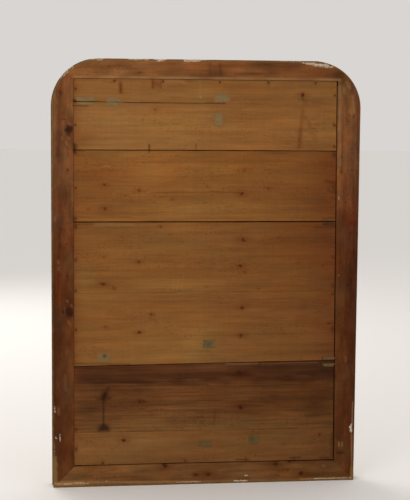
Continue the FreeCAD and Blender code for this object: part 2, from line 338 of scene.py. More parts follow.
def wobble(first, second, size, seed, waves=7):
    """Soft unevenness, mostly between -1 and 1, over two coordinates, in bumps of about one size."""
    chance = np.random.default_rng(seed)
    total = np.zeros_like(first)
    for _ in range(waves):
        turn, phase, pace = chance.uniform(0, 2 * np.pi, 2).tolist() + [chance.uniform(0.6, 1.6)]
        path = first * math.cos(turn) + second * math.sin(turn)
        total += np.sin(path * 2 * np.pi * pace / size + phase)
    return total / waves ** 0.5


def rise(value, low, high):
    """A smooth step from 0 to 1 between two values."""
    share = np.clip((value - low) / (high - low), 0, 1)
    return share * share * (3 - 2 * share)


def grain_round_knots(along, across, knots):
    """The fibre that passes each point, told by its course far from any knot, and how much knot is there."""
    fibre = across.copy()
    knot = np.zeros_like(across)
    for knot_along, knot_across, radius, dark in knots:
        far_along, far_across = along - knot_along, across - knot_across
        apart = (far_along / knot_reach) ** 2 + far_across ** 2
        fibre -= far_across * radius ** 2 / (apart + 0.6 * radius ** 2)
        seed = int(1e5 * abs(knot_along)) % 997
        lump = knot_lumps * wobble(far_along, far_across, 2.2 * radius, seed)
        core = np.hypot(far_along / knot_length, far_across) / radius * (1 + lump)
        halo = np.exp(-apart / (halo_reach * radius) ** 2)
        knot = np.maximum(knot, dark * np.maximum(1 - rise(core, knot_heart, knot_rim), halo_share * halo))
    return fibre, knot


tried, beside = np.zeros(1), np.full(1, 10 * MM)
bend = beside - grain_round_knots(tried, beside, [(0, 0, 5 * MM, 1)])[0]
print(f"a straight fibre 10 mm beside a 5 mm knot bends by {bend[0] / MM:.2f} mm")

# %% [markdown]
# ## Marks that time has left
# Damp, soot, iron and knocks have left streaks, runs and scuffs, and the stain took unevenly. Marks could be
# scattered by chance, but they make this back what it is, so each is a soft stroke between two points, or a
# soft patch, measured on the photograph.

# %% Strokes on the boards
# Pixels of the two ends of a stroke, its half width in mm, and its strength
dark_strokes = [
    (303, 112, 300, 132, 3.5, .14), (300.4, 130, 298.8, 147, 6.5, .24), (302.2, 93, 302.8, 99, 4, .4),
    (299.5, 99.5, 308, 101, 4, .16), (120.3, 82.5, 120.6, 84.5, 3, .35), (120.6, 84.5, 121, 91.5, 4.5, .45),
    (152.8, 80, 152.8, 87.5, 3.6, .55), (160.6, 80, 160.6, 88.5, 1.6, .6),
    (148.8, 144, 148.8, 152.5, 1.8, .7), (195.6, 143.5, 195.6, 149, 1.6, .35),
    (149.4, 145.2, 149.5, 150.5, 2.4, .85), (196, 145, 196, 150, 1.8, .5), (73, 105.7, 88, 105.9, 1.5, .85),
    (125, 102.4, 225, 103.6, 1, .7), (74.2, 144.5, 74.6, 152, 5, .95), (74.6, 100.8, 75.2, 101, 5, .95),
    (73.9, 216.5, 74, 220.5, 4, .6), (76, 150.6, 84, 150.7, 2, .4), (306, 118, 316, 140, 7, .14),
    (309, 121, 310, 123, 2, .4), (316, 131, 317, 132, 2, .35), (304.4, 117.6, 306, 117.6, 1.6, .5),
    (311.5, 119.4, 312.6, 119.5, 1.5, .4), (308.4, 125.4, 310.4, 125.6, 1.6, .5),
    (313, 128.6, 315, 129, 1.8, .5), (305, 130.8, 306.6, 130.8, 1.6, .45),
    (309.6, 133.6, 311, 133.8, 1.5, .4), (151, 192.4, 210, 192.2, 1.2, .4), (210, 191.5, 242, 193, 1.8, .4),
    (118, 194.8, 128, 194.8, 1.6, .3), (125, 195.5, 126, 196, 2.5, .3), (80, 216.8, 132, 216.9, 1.2, .35),
    (326, 181, 335, 183, 4.5, .5), (328, 190, 335, 193, 4, .5), (160, 226, 160.5, 228, 2, .4),
    (75, 267, 111, 267.2, 1.2, .32), (76, 270.5, 108, 270.5, 1.2, .26), (150, 261.5, 206, 262.5, 1.2, .22),
    (185, 267, 191.5, 267, 1.4, .35), (113, 286.6, 114.5, 288, 2.6, .35),
    (121.3, 281.8, 122.6, 282, 2, .25), (150, 317, 157, 322, 3, .25), (80, 338, 336, 333, 1, .2),
    (104, 355.4, 104.6, 357, 3.5, .6), (75, 363.6, 130, 364.4, 3, .5), (108.6, 387, 106, 392, 5.5, .7),
    (105.2, 393.5, 103.6, 399.5, 10, .95), (98, 399.2, 110, 398.6, 4.5, .6),
    (103.6, 401, 103.5, 424, 2.8, .85), (99, 430.2, 109, 430, 4.5, .9), (101.8, 428, 105.8, 428, 11, 1.1),
    (103.7, 425.6, 103.7, 427.6, 7.5, 1.3), (215, 411, 214, 424, 3.5, .32),
    (314, 227.4, 335, 226.6, 1.6, .5), (322, 218, 335, 217.2, 1.6, .45), (331, 198, 336, 198.4, 2, .5),
    (327, 323.6, 336, 323, 2, .5), (330, 320.6, 336, 320.8, 1.6, .35), (332, 285, 336, 286, 2, .4),
    (333, 291, 336, 292, 2, .4), (74, 401.6, 100, 401, 1.8, .6), (74, 408.6, 98, 408.2, 1.6, .55),
    (76, 412, 96, 411.6, 1.5, .45), (74, 396.6, 97, 396, 1.6, .3), (110, 407, 150, 405, 1.6, .45),
    (150, 405, 196, 402.5, 1.6, .45), (112, 395, 200, 392, 1.5, .35), (80, 391, 100, 390.6, 1.6, .25),
    (76, 386.5, 208, 384.6, 2.4, .5), (120, 371, 200, 369.6, 1.6, .25), (80, 376, 190, 374, 1.6, .35),
    (240, 386, 330, 383.6, 1.8, .4), (200, 395, 330, 391, 1.6, .4), (210, 412, 330, 408, 1.5, .35),
    (306, 416, 319, 415.2, 4, .4), (78, 383.5, 336, 378.5, 2, .4), (118, 383, 208, 384, 1.6, .45),
    (257, 378, 279, 378, 5, .45), (298, 374, 317, 373, 7, .4), (321, 370, 334, 376, 8, .45),
    (249, 399, 263, 398.6, 2, .3), (95, 406, 196, 405, 1.2, .3), (145, 405, 210, 403.5, 1.2, .35),
    (256, 367.4, 320, 366, 1.8, .25), (236, 459.6, 249, 459.4, 2.6, .7), (290, 457.8, 300, 457.2, 2.4, .7),
    (320, 457.8, 330, 457.5, 2.6, .7), (332, 433, 331.5, 456, 5, .4), (270, 396.5, 277, 396.4, 2.4, .3),
    (289, 428.2, 298, 428, 2.2, .35),
]
red_strokes = [
    (302.8, 111, 299.4, 146, 8.5, .55), (301, 126, 299.2, 141, 5, .7), (303, 98, 305, 103, 7, .6),
    (120.4, 83, 120.8, 92, 6, .9), (155.5, 83.5, 157.5, 84.5, 10, .8), (173, 97.4, 174.5, 97.6, 3, .6),
    (109, 83.2, 111, 83.4, 4, .4), (159, 197, 190, 196.6, 2.4, .55), (76, 198, 95, 198, 2.6, .55),
    (80, 160, 96, 160, 14, .3), (85, 205, 104, 212, 8, .25), (212, 176, 240, 178, 12, .25),
    (300, 165, 335, 168, 10, .3), (300, 262, 335, 262, 14, .35), (300, 320, 335, 330, 16, .35),
    (75, 285, 102, 286, 6, .3), (104, 284, 116, 288, 4.5, .5), (239, 262, 250, 272, 6, .35),
    (312, 436, 330, 436, 6, .4), (232, 372, 250, 375, 8, .4), (262, 388, 330, 387, 4, .4),
    (80, 390, 140, 391, 5, .3), (150, 396, 230, 395, 5, .3),
]
pale_strokes = [
    (104, 166, 110, 166, 2.2, .3), (200, 79, 200.5, 97, 1.6, .25), (200.5, 96.7, 200.6, 97.5, 2.2, .8),
    (118, 100.5, 140, 102, 2.5, .25), (178, 293, 205, 292.5, 1.2, .35), (205, 340, 215, 341, 4, .12),
    (89, 119, 89.2, 120, 1.6, .5), (129, 113.6, 129.4, 114, 1.6, .4), (165, 81.5, 184, 82, 5, .2),
    (96, 224.4, 132, 224.6, 5, .18), (226, 364.2, 258, 363.4, 1.7, .26), (262, 363.6, 318, 362.4, 1.7, .14),
]


def soft(distance, reach):
    """A soft spot: 1 in the middle, fading away with the distance."""
    return np.exp(-(distance / reach) ** 2)


def stroke_cover(x, z, strokes, depth):
    """How far each point is covered by soft strokes that the photograph shows: 0 is clean, 1 is covered."""
    cover = np.zeros_like(x)
    for first_x, first_y, last_x, last_y, half, strength in strokes:
        ax, az = on_back(first_x, first_y, depth)
        bx, bz = on_back(last_x, last_y, depth)
        long = max((bx - ax) ** 2 + (bz - az) ** 2, 1e-9)
        along = np.clip(((x - ax) * (bx - ax) + (z - az) * (bz - az)) / long, 0, 1)
        away = np.hypot(x - ax - along * (bx - ax), z - az - along * (bz - az))
        cover = np.maximum(cover, strength * soft(away, half * MM))
    return cover


print(len(dark_strokes), "dark strokes,", len(red_strokes), "red ones and", len(pale_strokes), "pale ones")

# %% Strokes on the carcass
# Where red stain shows, where the wood is rubbed pale, and dark streaks and dirt
stile_reds = [
    (58.5, 106, 58.5, 155, 5, .9), (58.8, 186, 58.8, 213, 5, .8), (59.2, 232, 58.6, 290, 4.5, .8),
    (57, 293, 59, 330, 6, .5), (60.5, 376, 60.5, 388, 3, .6), (353.7, 176, 353.6, 256, 1.6, .95),
    (357, 105, 357.3, 160, 3, .7), (350.4, 216, 350.4, 224, 6, .7), (350.2, 279, 350.2, 291, 7, .95),
    (351, 292, 350.8, 345, 5, .6), (348, 400, 348, 440, 5, .5), (66, 445, 66, 468, 12, .35),
    (60, 200, 66, 240, 8, .3), (66, 395, 68, 430, 8, .4), (344, 310, 344, 420, 6, .3),
    (80, 66, 130, 66, 6, .4), (150, 64, 200, 64, 5, .4), (225, 66, 260, 66, 7, .35),
]
carcass_pale = [
    (54, 483.9, 83, 483.5, 5.5, 1.3), (55, 458, 55.6, 482, 5, .7), (63, 122, 63.5, 134, 3.5, .2),
    (68, 137.5, 69, 139, 2.5, .4), (62, 137, 62.3, 140, 2.2, .4), (66, 142.5, 67.5, 145, 3.5, .3),
    (68.6, 122.5, 70.5, 125, 2, .3), (66.6, 300.5, 67.6, 302, 2.2, .45), (71, 305, 72, 306.5, 2, .4),
    (64.5, 307, 65, 314, 2, .2), (68.5, 321, 70, 325, 2.5, .3), (65.4, 376, 66, 390, 3.5, .2),
    (58.4, 261, 58.4, 263.5, 3, .45), (58.8, 267, 58.8, 270, 3, .35), (58.5, 408, 58.7, 414, 3, .4),
    (339.8, 86, 340.2, 165, 3, .6), (339.2, 168, 339, 200, 2.2, .2), (344, 89, 344.3, 93, 4, .25),
    (352.5, 96, 354, 112, 4, .45), (346.5, 82, 350, 88, 3.5, .4), (350.5, 110, 352, 114, 4, .3),
    (345.4, 357, 345.8, 361, 3, .3), (355.6, 340, 355.6, 362, 1.2, .45), (338.8, 442.4, 339, 446, 2.6, .7),
    (342, 442.4, 342, 446, 2.6, .7), (339.5, 448, 341.5, 448, 1.6, .3), (351.6, 434, 352, 478, 2, .9),
    (352.8, 402, 352, 424, 1.8, .8), (300, 479.2, 350, 478, 3, 1), (200, 481.6, 300, 479.6, 2.2, .5),
    (88, 482.4, 200, 481.8, 3.2, .8), (322.6, 465.6, 324.6, 466, 2.4, .4), (250, 479.8, 300, 479, 1.6, .3),
    (184, 476, 190, 476.5, 3, .2), (54.6, 217, 54.8, 221, 2.5, .35),
]
carcass_dirt = [
    (210, 64, 210, 75, 5, .3), (220, 64, 221, 75, 5, .4), (235, 74, 262, 74, 2.6, .45),
    (337, 452.8, 344.5, 452.8, 3.2, .85), (289, 461.4, 334, 460.2, 2.6, .6), (52.9, 96, 53.2, 160, 2, .5),
    (53.2, 160, 53.6, 285, 2, .35), (53.4, 285, 53.8, 345, 4, .55), (54, 345, 55, 400, 3, .4),
    (358, 110, 358.4, 170, 2, .3), (357, 171, 357.4, 187, 4, .45), (357.4, 187, 356.2, 330, 2.4, .4),
    (355, 330, 354, 400, 2.4, .35), (346, 70, 353, 80, 4, .4), (344, 80, 347, 84, 5, .3),
    (353.8, 116, 353.9, 117, 3, .5), (62, 119.4, 66, 119.6, 1.4, .5), (62, 477.5, 75, 462.5, 1.2, .5),
    (58.8, 446, 57.8, 460, 2, .35), (58, 460, 61.5, 472, 2, .4), (72.5, 446, 73, 458, 2, .3),
    (74, 431.5, 80, 433, 2.4, .5), (350, 232.5, 351, 233.5, 3, .4), (357, 233.5, 357.4, 234.5, 3, .4),
    (60, 92, 61, 94, 4, .35), (275, 462, 277, 466, 2.2, .45), (84, 79.2, 100, 79.3, 1.2, .3),
    (66, 122, 66.6, 123, 2, .5), (67.8, 126.5, 68.6, 134, 5.5, .7), (69.2, 311.2, 70.6, 312.8, 11, .95),
]
print(len(stile_reds), "red strokes,", len(carcass_pale), "pale ones and", len(carcass_dirt), "dark ones")

# %% Where the stain took unevenly
# For each piece, pixels of a patch's middle and its half size, and how much lighter and yellower
# (or darker and redder) the wood is there; two dark patches at the joint under board 2 are painted shade
stains = {
    1: [
        (160, 132, 65, 14, .07, .05), (85, 137, 12, 8, -.15, -.06), (130, 124, 35, 6, 0, .06),
        (200, 97, 16, 14, .07, .05), (150, 108, 95, 5, -.1, 0), (240, 107, 40, 10, -.06, -.03),
        (295, 94, 8, 8, .06, 0), (322, 105, 14, 16, -.06, .04), (293, 120, 16, 6, .08, .02),
        (245, 88, 30, 6, 0, -.05), (80, 143, 8, 7, -.12, -.04), (165, 122, 26, 10, 0, .05),
        (205, 97, 9, 8, 0, .1), (105, 132, 30, 12, 0, -.05), (305, 127, 13, 10, 0, -.06),
        (150, 125, 45, 20, .04, 0), (90, 138, 20, 14, -.08, 0), (322, 146, 18, 6, -.2, 0),
    ],
    2: [
        (100, 172, 24, 22, -.09, -.04), (108, 154, 18, 5, 0, .08), (92, 173, 18, 5, 0, -.07),
        (160, 174, 30, 14, .1, .03), (240, 173, 34, 7, .12, .06), (312, 194, 28, 8, -.17, -.04),
        (325, 178, 10, 25, -.08, -.02), (215, 209, 58, 10, .11, .1), (172, 207, 28, 9, .09, .04),
        # (105, 213) is painted shade along the joint under this board
        (300, 160, 22, 6, .08, 0), (105, 213, 30, 5, -.12, 0), (106, 198, 24, 13, -.08, -.08),
        (222, 174, 20, 6, .12, .02), (322, 208, 14, 12, -.15, -.02), (303, 182, 16, 12, 0, -.06),
        (140, 155, 45, 5, 0, .07), (225, 162, 34, 14, 0, .06), (155, 172, 45, 20, .09, .01),
        (84, 166, 14, 30, -.08, 0),
    ],
    3: [
        (105, 228, 30, 22, -.09, -.01), (88, 226, 9, 14, -.08, 0), (210, 243, 42, 15, .11, .04),
        (178, 240, 22, 22, 0, .03), (308, 232, 34, 26, -.14, -.08), (329, 230, 8, 10, -.12, -.02),
        (220, 281, 80, 12, .09, .03), (83, 281, 12, 11, .13, .11), (160, 284, 25, 7, .05, .04),
        (193, 288, 12, 5, 0, .07), (325, 228, 12, 10, -.12, 0), (185, 262, 20, 22, .09, .02),
        (180, 287, 36, 5, .13, .03), (85, 231, 10, 6, 0, .07), (172, 219, 36, 8, .05, 0),
        # painted shade along the joint above this board
        (86, 218, 12, 7, -.18, 0),
    ],
    4: [
        (325, 298, 14, 9, -.16, -.03), (245, 304, 28, 6, -.03, -.06), (190, 340, 78, 26, .08, .04),
        (193, 350, 16, 17, .14, .09), (160, 356, 26, 9, .06, .08), (83, 356, 10, 6, .08, .02),
        (325, 355, 10, 8, -.08, 0), (250, 358, 50, 4, .06, 0), (180, 297, 36, 5, .06, 0),
        (200, 324, 14, 14, .1, .02), (293, 307, 28, 9, 0, -.13), (205, 338, 11, 12, 0, .12),
        (280, 337, 45, 10, 0, .06), (83, 356, 10, 9, 0, .08), (185, 330, 34, 20, .06, 0),
    ],
    5: [
        (94, 372, 24, 9, -.02, -.02), (163, 373, 32, 7, .2, -.02), (275, 378, 65, 6, -.04, -.05),
        (285, 398, 50, 14, -.26, -.06), (314, 407, 18, 10, -.22, -.01), (90, 407, 18, 9, -.36, -.06),
        (105, 402, 20, 8, 0, -.06), (145, 423, 32, 7, .27, .03), (240, 425, 70, 6, .14, .07),
        (205, 390, 140, 24, 0, -.06), (205, 367.5, 88, 5, .36, .05), (175, 412, 45, 10, .12, 0),
        (320, 400, 14, 16, -.18, -.04), (100, 427, 30, 5, 0, .12), (205, 427, 70, 5, 0, .05),
        (190, 426, 30, 5, .12, 0), (108, 408, 18, 6, 0, -.08), (190, 428, 75, 5, .08, .06),
    ],
    6: [
        (150, 440, 34, 8, .18, .04), (245, 440, 60, 10, .08, .05), (322, 448, 11, 9, -.14, 0),
        (170, 451, 22, 6, .08, 0),
    ],
    "top_rail": [
        (121, 73, 9, 5, .24, .02), (148, 73, 10, 5, .3, .02), (103, 63, 10, 5, .1, 0),
        (83, 70, 9, 6, -.14, 0), (187, 63, 16, 5, .12, .03), (241, 70, 9, 6, .32, 0),
        (268, 65, 11, 6, -.42, -.05), (288, 75, 16, 3.5, .2, 0), (310, 72, 20, 5, -.1, 0),
        (340, 74, 7, 7, -.6, -.03), (215, 70, 7, 8, -.12, -.03),
    ],
    "bottom_rail": [
        (125, 471, 20, 6, .2, .06), (238, 468, 46, 7, .2, .12), (160, 470, 12, 6, -.1, 0),
        (282, 462, 16, 6, 0, .1), (215, 463, 18, 5, 0, .06), (310, 470, 30, 7, .06, .14),
        (80, 474, 14, 7, 0, .08),
    ],
    "left_stile": [
        (66, 198, 8, 14, -.34, 0), (57, 245, 7, 20, .2, .16), (53, 120, 3, 45, .22, .05),
        (66, 135, 5, 14, .05, .07), (62, 110, 5, 9, -.26, -.03), (64, 466, 7, 14, .05, .16),
        (68, 321, 6, 16, .1, .2), (65, 425, 9, 14, .08, .12), (68, 228, 6, 16, .1, .12),
        (55, 108, 4, 34, .1, .1),
    ],
    "right_stile": [
        (345, 130, 8, 26, .14, .03), (342, 330, 6, 34, .16, .04), (343, 77, 7, 8, -.6, -.04),
        (347, 240, 14, 70, 0, -.13), (345, 464, 12, 16, .3, .05), (353, 84, 6, 14, -.3, .06),
        (353, 120, 5, 20, .12, .18), (340, 212, 6, 22, 0, -.13), (342, 415, 8, 26, 0, -.14),
    ],
}
yellower_tint = np.array((-0.3, 0.7, 0.9))


def stain_factor(piece, x, z, depth):
    """How uneven stain, and a little painted shade, change the colour of a piece at each point: factors for
    red, green and blue.
    """
    light, yellow = np.zeros_like(x), np.zeros_like(x)
    for px, py, wide, tall, lighter, yellower in stains[piece]:
        middle_x, middle_z = on_back(px, py, depth)
        patch = soft(x - middle_x, wide * pixel_size) * soft(z - middle_z, tall * pixel_size)
        light += lighter * patch
        yellow += yellower * patch
    return np.exp(light[:, None] + yellow[:, None] * yellower_tint)


print(sum(len(patches) for patches in stains.values()), "patches of uneven stain")

# %% [markdown]
# ## The pine finish
# Old stained pine has broad bands, fine ring lines, fibres, dark knots and a patina of dirt. A picture of
# wood could be laid on every piece, but it would know nothing of the knots. So the broad colour of each
# piece comes from its points, because each board took the stain in its own way and painted light falls off
# across the back, and noise that is stretched along the grain gives the rest. Where knots, dirt or gesso
# begin, noise breaks up the edge.

# %% Wood of the pine finish
fleck_red = (0.66, 0.50, 0.38, 1)
violet_tint = (0.98, 0.88, 1.3, 1)


def pine_wood(pine, band_depth, line_depth, fleck_depth, blotch_depth, hues, longer, violet):
    """The bare stained wood: its colour, and the rings, fibres and blotches that it is made of."""
    grain = pine.attribute("grain_at")

    def streaks(along, across, detail=2.0, roughness=0.5):
        return pine.noise(pine.stretched(grain, (along, across, across)), detail=detail, roughness=roughness)

    def uneven(noise, low, depth):
        return pine.span(noise, low, 1 - low, 1 - depth, 1 + depth)

    bands, rings = streaks(0.7, 46, 3, 0.6), streaks(1.1, 300, 3, 0.6)
    fibres, saw_marks = streaks(22, 1200), streaks(260, 9)
    blotches, mottles = streaks(12 / longer, 30, 6, 0.66), streaks(45 / longer ** 2, 130, 4, 0.65)
    level = pine.times(uneven(bands, 0.25, band_depth), uneven(rings, 0.25, line_depth / 2),
                       uneven(fibres, 0.2, 0.06), uneven(blotches, 0.3, blotch_depth),
                       uneven(saw_marks, 0.25, 0.04), uneven(mottles, 0.3, 0.05 + 0.25 * blotch_depth))
    colour = pine.scaled(pine.attribute("base", "Color"), level)
    warmth = pine.span(streaks(6, 14, 4, 0.62), 0.36, 0.64)
    colour = pine.mix(1.0, colour, pine.mix(warmth, *hues), "MULTIPLY")
    if violet:
        bloom = pine.span(streaks(22, 50, 4, 0.65), 0.50, 0.66, 0, violet)
        colour = pine.mix(bloom, colour, violet_tint, "MULTIPLY")
    lines = pine.times(pine.span(streaks(5, 180, 4, 0.68), 0.53, 0.70), line_depth * 2.2)
    flecks = pine.span(streaks(120, 200, 2, 0.6), 0.54, 0.66)
    gathered = pine.span(streaks(9, 20), 0.46, 0.62, 0, fleck_depth)
    colour = pine.mix(pine.most(lines, pine.times(flecks, gathered)), colour, fleck_red, "MULTIPLY")
    return colour, rings, fibres, blotches


print("tint of the flecks", fleck_red[:3], "and of the bloom", violet_tint[:3])

# %% Marks over the wood
knot_brown, dirt_brown, scuff_tan = paint(50, 24, 12), paint(44, 25, 13), paint(160, 124, 82)
ochre_wash, gesso_white, dust_grey = paint(118, 88, 42), paint(200, 187, 166), paint(118, 92, 64)
halo_red = (0.80, 0.62, 0.54, 1)
dull_gloss = 0.06


def pine_finish(name, roughness, *wood):
    """Stained pine that follows the grain, knots and marks noted on a mesh."""
    pine = Finish(name)
    colour, rings, fibres, blotches = pine_wood(pine, *wood)
    knot, dark, pale = pine.parts(pine.attribute("marks"))
    ochre, gesso, dust = pine.parts(pine.attribute("rim"))
    specks = pine.noise(pine.place(), scale=170, detail=4, roughness=0.7)
    crumbs = pine.noise(pine.place(), scale=300, detail=4, roughness=0.7)
    broken = pine.plus(pine.span(fibres, 0.2, 0.8, -0.10, 0.10), pine.span(specks, 0.25, 0.75, -0.20, 0.20))

    def broken_up(mark, share=1.0):
        return pine.plus(mark, pine.times(broken, mark, share))

    colour = pine.mix(pine.times(dust, 0.6), colour, dust_grey)
    colour = pine.mix(pine.span(broken_up(dark), 0.0, 1.0, 0, 0.92), colour, dirt_brown)
    rough_knot = broken_up(knot, 1.6)
    colour = pine.mix(pine.span(rough_knot, 0.02, 0.42), colour, halo_red, "MULTIPLY")
    colour = pine.mix(pine.span(rough_knot, 0.36, 0.95, 0, 0.92), colour, knot_brown)
    colour = pine.mix(pine.span(broken_up(pale), 0.0, 0.95, 0, 0.9), colour, scuff_tan)
    colour = pine.mix(pine.span(pine.plus(ochre, broken), 0.2, 0.9, 0, 0.85), colour, ochre_wash)
    crumbled = pine.span(pine.plus(gesso, pine.span(crumbs, 0.25, 0.75, -0.5, 0.5)), 0.34, 0.84)
    white = pine.times(crumbled, pine.span(gesso, 0.05, 0.3))
    colour = pine.mix(white, colour, gesso_white)
    sheen = pine.span(blotches, 0.3, 0.7, roughness - 0.08, roughness + 0.08)
    roughness = pine.plus(sheen, pine.times(white, 0.1))
    pine.give(Base_Color=colour, Roughness=roughness, Specular_IOR_Level=dull_gloss)
    relief = pine.plus(pine.times(rings, 0.5), pine.times(fibres, 0.5), pine.times(white, 0.8))
    pine.bump(relief, 0.5 * MM, 0.7)
    return pine.material


print("in linear light, knots are", np.round(knot_brown[:3], 3), "and gesso is", np.round(gesso_white[:3], 3))

# %% Mix four pines
board_hues = (1.03, 0.965, 0.90, 1), (0.98, 1.04, 1.07, 1)
stile_hues = (1.08, 0.90, 0.74, 1), (0.94, 1.10, 1.16, 1)
rail_hues = (1.05, 0.95, 0.86, 1), (0.97, 1.05, 1.10, 1)
# Roughness, depth of bands, lines, flecks and blotches, hues, length of blotches, and how violet the bloom is
board_pine = pine_finish("aged_board_pine", 0.74, 0.08, 0.14, 0.55, 0.14, board_hues, 2.0, 0.0)
sooted_pine = pine_finish("sooted_board_pine", 0.74, 0.16, 0.36, 0.7, 0.24, board_hues, 2.0, 0.0)
rail_pine = pine_finish("stained_rail_pine", 0.68, 0.13, 0.16, 0.7, 0.26, rail_hues, 1.6, 0.0)
stile_pine = pine_finish("stained_stile_pine", 0.68, 0.15, 0.14, 0.7, 0.34, stile_hues, 1.0, 0.45)
print("pine finishes:", board_pine.name, sooted_pine.name, rail_pine.name, stile_pine.name)

# %% Note grain and marks on a wooden piece
sway_wide, sway_fine = 1.6 * MM, 0.5 * MM
# Grain of one piece lies this far along the noise from that of the next, so that no two look alike
piece_shift = 3.7
red_share, rubbed_share = 0.42, 0.6


def points_of(mesh):
    """The points of a mesh as an array."""
    flat = np.empty(len(mesh.vertices) * 3, np.float32)
    mesh.vertices.foreach_get("co", flat)
    return flat.reshape(-1, 3).astype(float)


def note(mesh, name, values):
    """Writes an attribute on the points of a mesh: a number, a vector or a colour for each."""
    values = np.asarray(values, np.float32)
    kind, field = {1: ("FLOAT", "value"), 2: ("FLOAT_VECTOR", "vector")}[values.ndim]
    if values.ndim == 2 and values.shape[1] == 4:
        kind, field = "FLOAT_COLOR", "color"
    mesh.attributes.new(name, kind, "POINT").data.foreach_set(field, values.ravel())


def dress_pine(mesh, upright_grain, tone, knots, depth, seed, extra_dark, pale=None, rim=None):
    """Notes on a mesh what the pine finish reads: base colour, grain, marks and rim."""
    points = points_of(mesh)
    x, y, z = points.T
    behind = y > (front_y + back_y) / 2
    low, high = points.min(0)[[0, 2]], points.max(0)[[0, 2]]
    rows = knots[((knots[:, :2] > low) & (knots[:, :2] < high)).all(1)]
    along, across = (z, x) if upright_grain else (x, z)
    if upright_grain:
        rows = rows[:, [1, 0, 2, 3]]
    sway = sway_wide * wobble(along, across * 0.3, 0.5, seed)
    sway += sway_fine * wobble(along, across, 0.13, seed + 1)
    fibre, knot = grain_round_knots(along, across + sway, rows)
    knot = np.maximum(knot, red_share * stroke_cover(x, z, red_strokes + stile_reds, depth))
    dark = np.maximum(stroke_cover(x, z, dark_strokes, depth), extra_dark(x, z))
    rubbed = rubbed_share * stroke_cover(x, z, carcass_pale, depth)
    light = np.maximum(stroke_cover(x, z, pale_strokes, depth), rubbed)
    if pale is not None:
        light = np.maximum(light, pale(x, z))
    note(mesh, "grain_at", np.stack([along + piece_shift * seed, fibre, y], 1))
    note(mesh, "marks", np.stack([knot, dark, light], 1) * behind[:, None])
    note(mesh, "rim", np.zeros_like(points) if rim is None else np.stack(rim(x, y, z), 1))
    note(mesh, "base", np.concatenate([tone(x, z), np.ones((len(x), 1))], 1))


print(f"grain sways by about {sway_wide / MM:.1f} mm")

# %% [markdown]
# ## Back boards
# Each board is a rough-sawn plank of pine, a little cupped, with rubbed arrises. The packed board is a plain
# slab. A copy of it with a bump map would be quick, but it would have no points to carry knots and stains,
# and no rubbed edges. So the visual board is built as a closed skin: a section of many points, carried from
# the right end to the left one, with the drying split of the top board as a real groove.

# %% Read the corners of a board
top_board = 1
end_reach = 2.5 * MM


def board_corners(node):
    """The right and the left end of a packed board, each as its low and its high corner (x, z)."""
    points = points_of(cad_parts[node].data)
    x = points[:, 0]
    ends = []
    for end in (points[x < x.min() + end_reach], points[x > x.max() - end_reach]):
        ends.append((end[end[:, 2].argmin()][[0, 2]], end[end[:, 2].argmax()][[0, 2]]))
    return ends


def end_line(end, z):
    """Where an end of a board lies at each height."""
    low, high = end
    return low[0] + (z - low[1]) / (high[1] - low[1]) * (high[0] - low[0])


def board_edges(number, x):
    """The low and the high edge of a board at each x."""
    edges = []
    for (right_x, right_z), (left_x, left_z) in zip(*board_corners(f"back_board_{number}")):
        edges.append(right_z + (x - right_x) / (left_x - right_x) * (left_z - right_z))
    return edges


right_end, left_end = board_corners("back_board_1")
print("top board from", np.round(right_end[0], 3), "to", np.round(left_end[1], 3))

# %% Find the split and cut it
edge_margin, nail_margin = 30 * MM, 20 * MM
split_shoulder, split_sway = 0.7 * MM, 0.5 * MM
split_tip_half, split_mouth_share = 0.1 * MM, 0.62
split_tip_depth, split_mouth_depth = 0.5 * MM, 10 * MM


def split_line():
    """The mouth and the tip of the split in the packed top board: x and z of both, and the mouth's width."""
    points = points_of(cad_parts["back_board_1"].data)
    right, left = board_corners("back_board_1")
    inner = points[(points[:, 2] > left[0][1] + edge_margin) & (points[:, 2] < left[1][1] - edge_margin)]
    mouth = inner[inner[:, 0] > left[0][0] - 0.05 * MM][:, 2]
    tips = inner[(inner[:, 0] < left[0][0] - nail_margin) & (inner[:, 0] > right[0][0] + nail_margin)]
    tip = tips[np.argmin(np.abs(tips[:, 2] - mouth.mean()))]
    return (left[0][0], mouth.mean()), (tip[0], tip[2]), mouth.max() - mouth.min()


def cut_split(stations, back_z, back_depth):
    """Draws five rows of points to the split and lets the middle one down into it."""
    run = (split_mouth[0] - stations) / (split_mouth[0] - split_tip[0])
    middle = split_mouth[1] + np.clip(run, 0, 1.3) * (split_tip[1] - split_mouth[1])
    middle += split_sway * wobble(stations, stations * 0, 0.06, 70) * rise(run, 0, 0.1)
    open_share = np.clip(1 - run, 0, 1) ** 0.7
    half = split_tip_half + open_share * split_mouth_share * split_width
    nearest = int(np.argmin(np.abs(back_z[-1] - split_mouth[1])))
    for offset, side, shoulder in ((-2, -1, -1), (-1, -1, 0), (0, 0, 0), (1, 1, 0), (2, 1, 1)):
        back_z[:, nearest + offset] = middle + side * half + shoulder * split_shoulder
    back_depth[:, nearest] -= (split_tip_depth + split_mouth_depth * open_share) * (run < 1.25)


split_mouth, split_tip, split_width = split_line()
print("split from", np.round(split_mouth, 4), "to", np.round(split_tip, 4), f"{split_width / MM:.2f} mm wide")

# %% Edges of a board
loose_edge, tight_edge, top_swell = 0.3 * MM, 0.1 * MM, 0.9 * MM
# How much of the gap above it each board closes: some joints are hardly seen
closed_above = {4: 0.9, 5: 0.35, 6: 0.9}


def ragged_edges(number, stations):
    """The low and the high edge of a visual board: left rough, and closer to the board above."""
    low, high = board_edges(number, stations)
    swell = top_swell if number == top_board else 0.0
    if number in closed_above:
        swell = closed_above[number] * (board_edges(number - 1, stations)[0] - high)
    closed = closed_above.get(number, 0), closed_above.get(number + 1, 0)
    rough_high, rough_low = (tight_edge if share > 0.5 else loose_edge for share in closed)
    high = high + swell - np.abs(rough_high * wobble(stations, stations * 0, 0.12, 40 + number))
    low = low + np.abs(rough_low * wobble(stations, stations * 0, 0.15, 50 + number))
    return low, high


print("drawn tighter: the joints above boards", *closed_above)

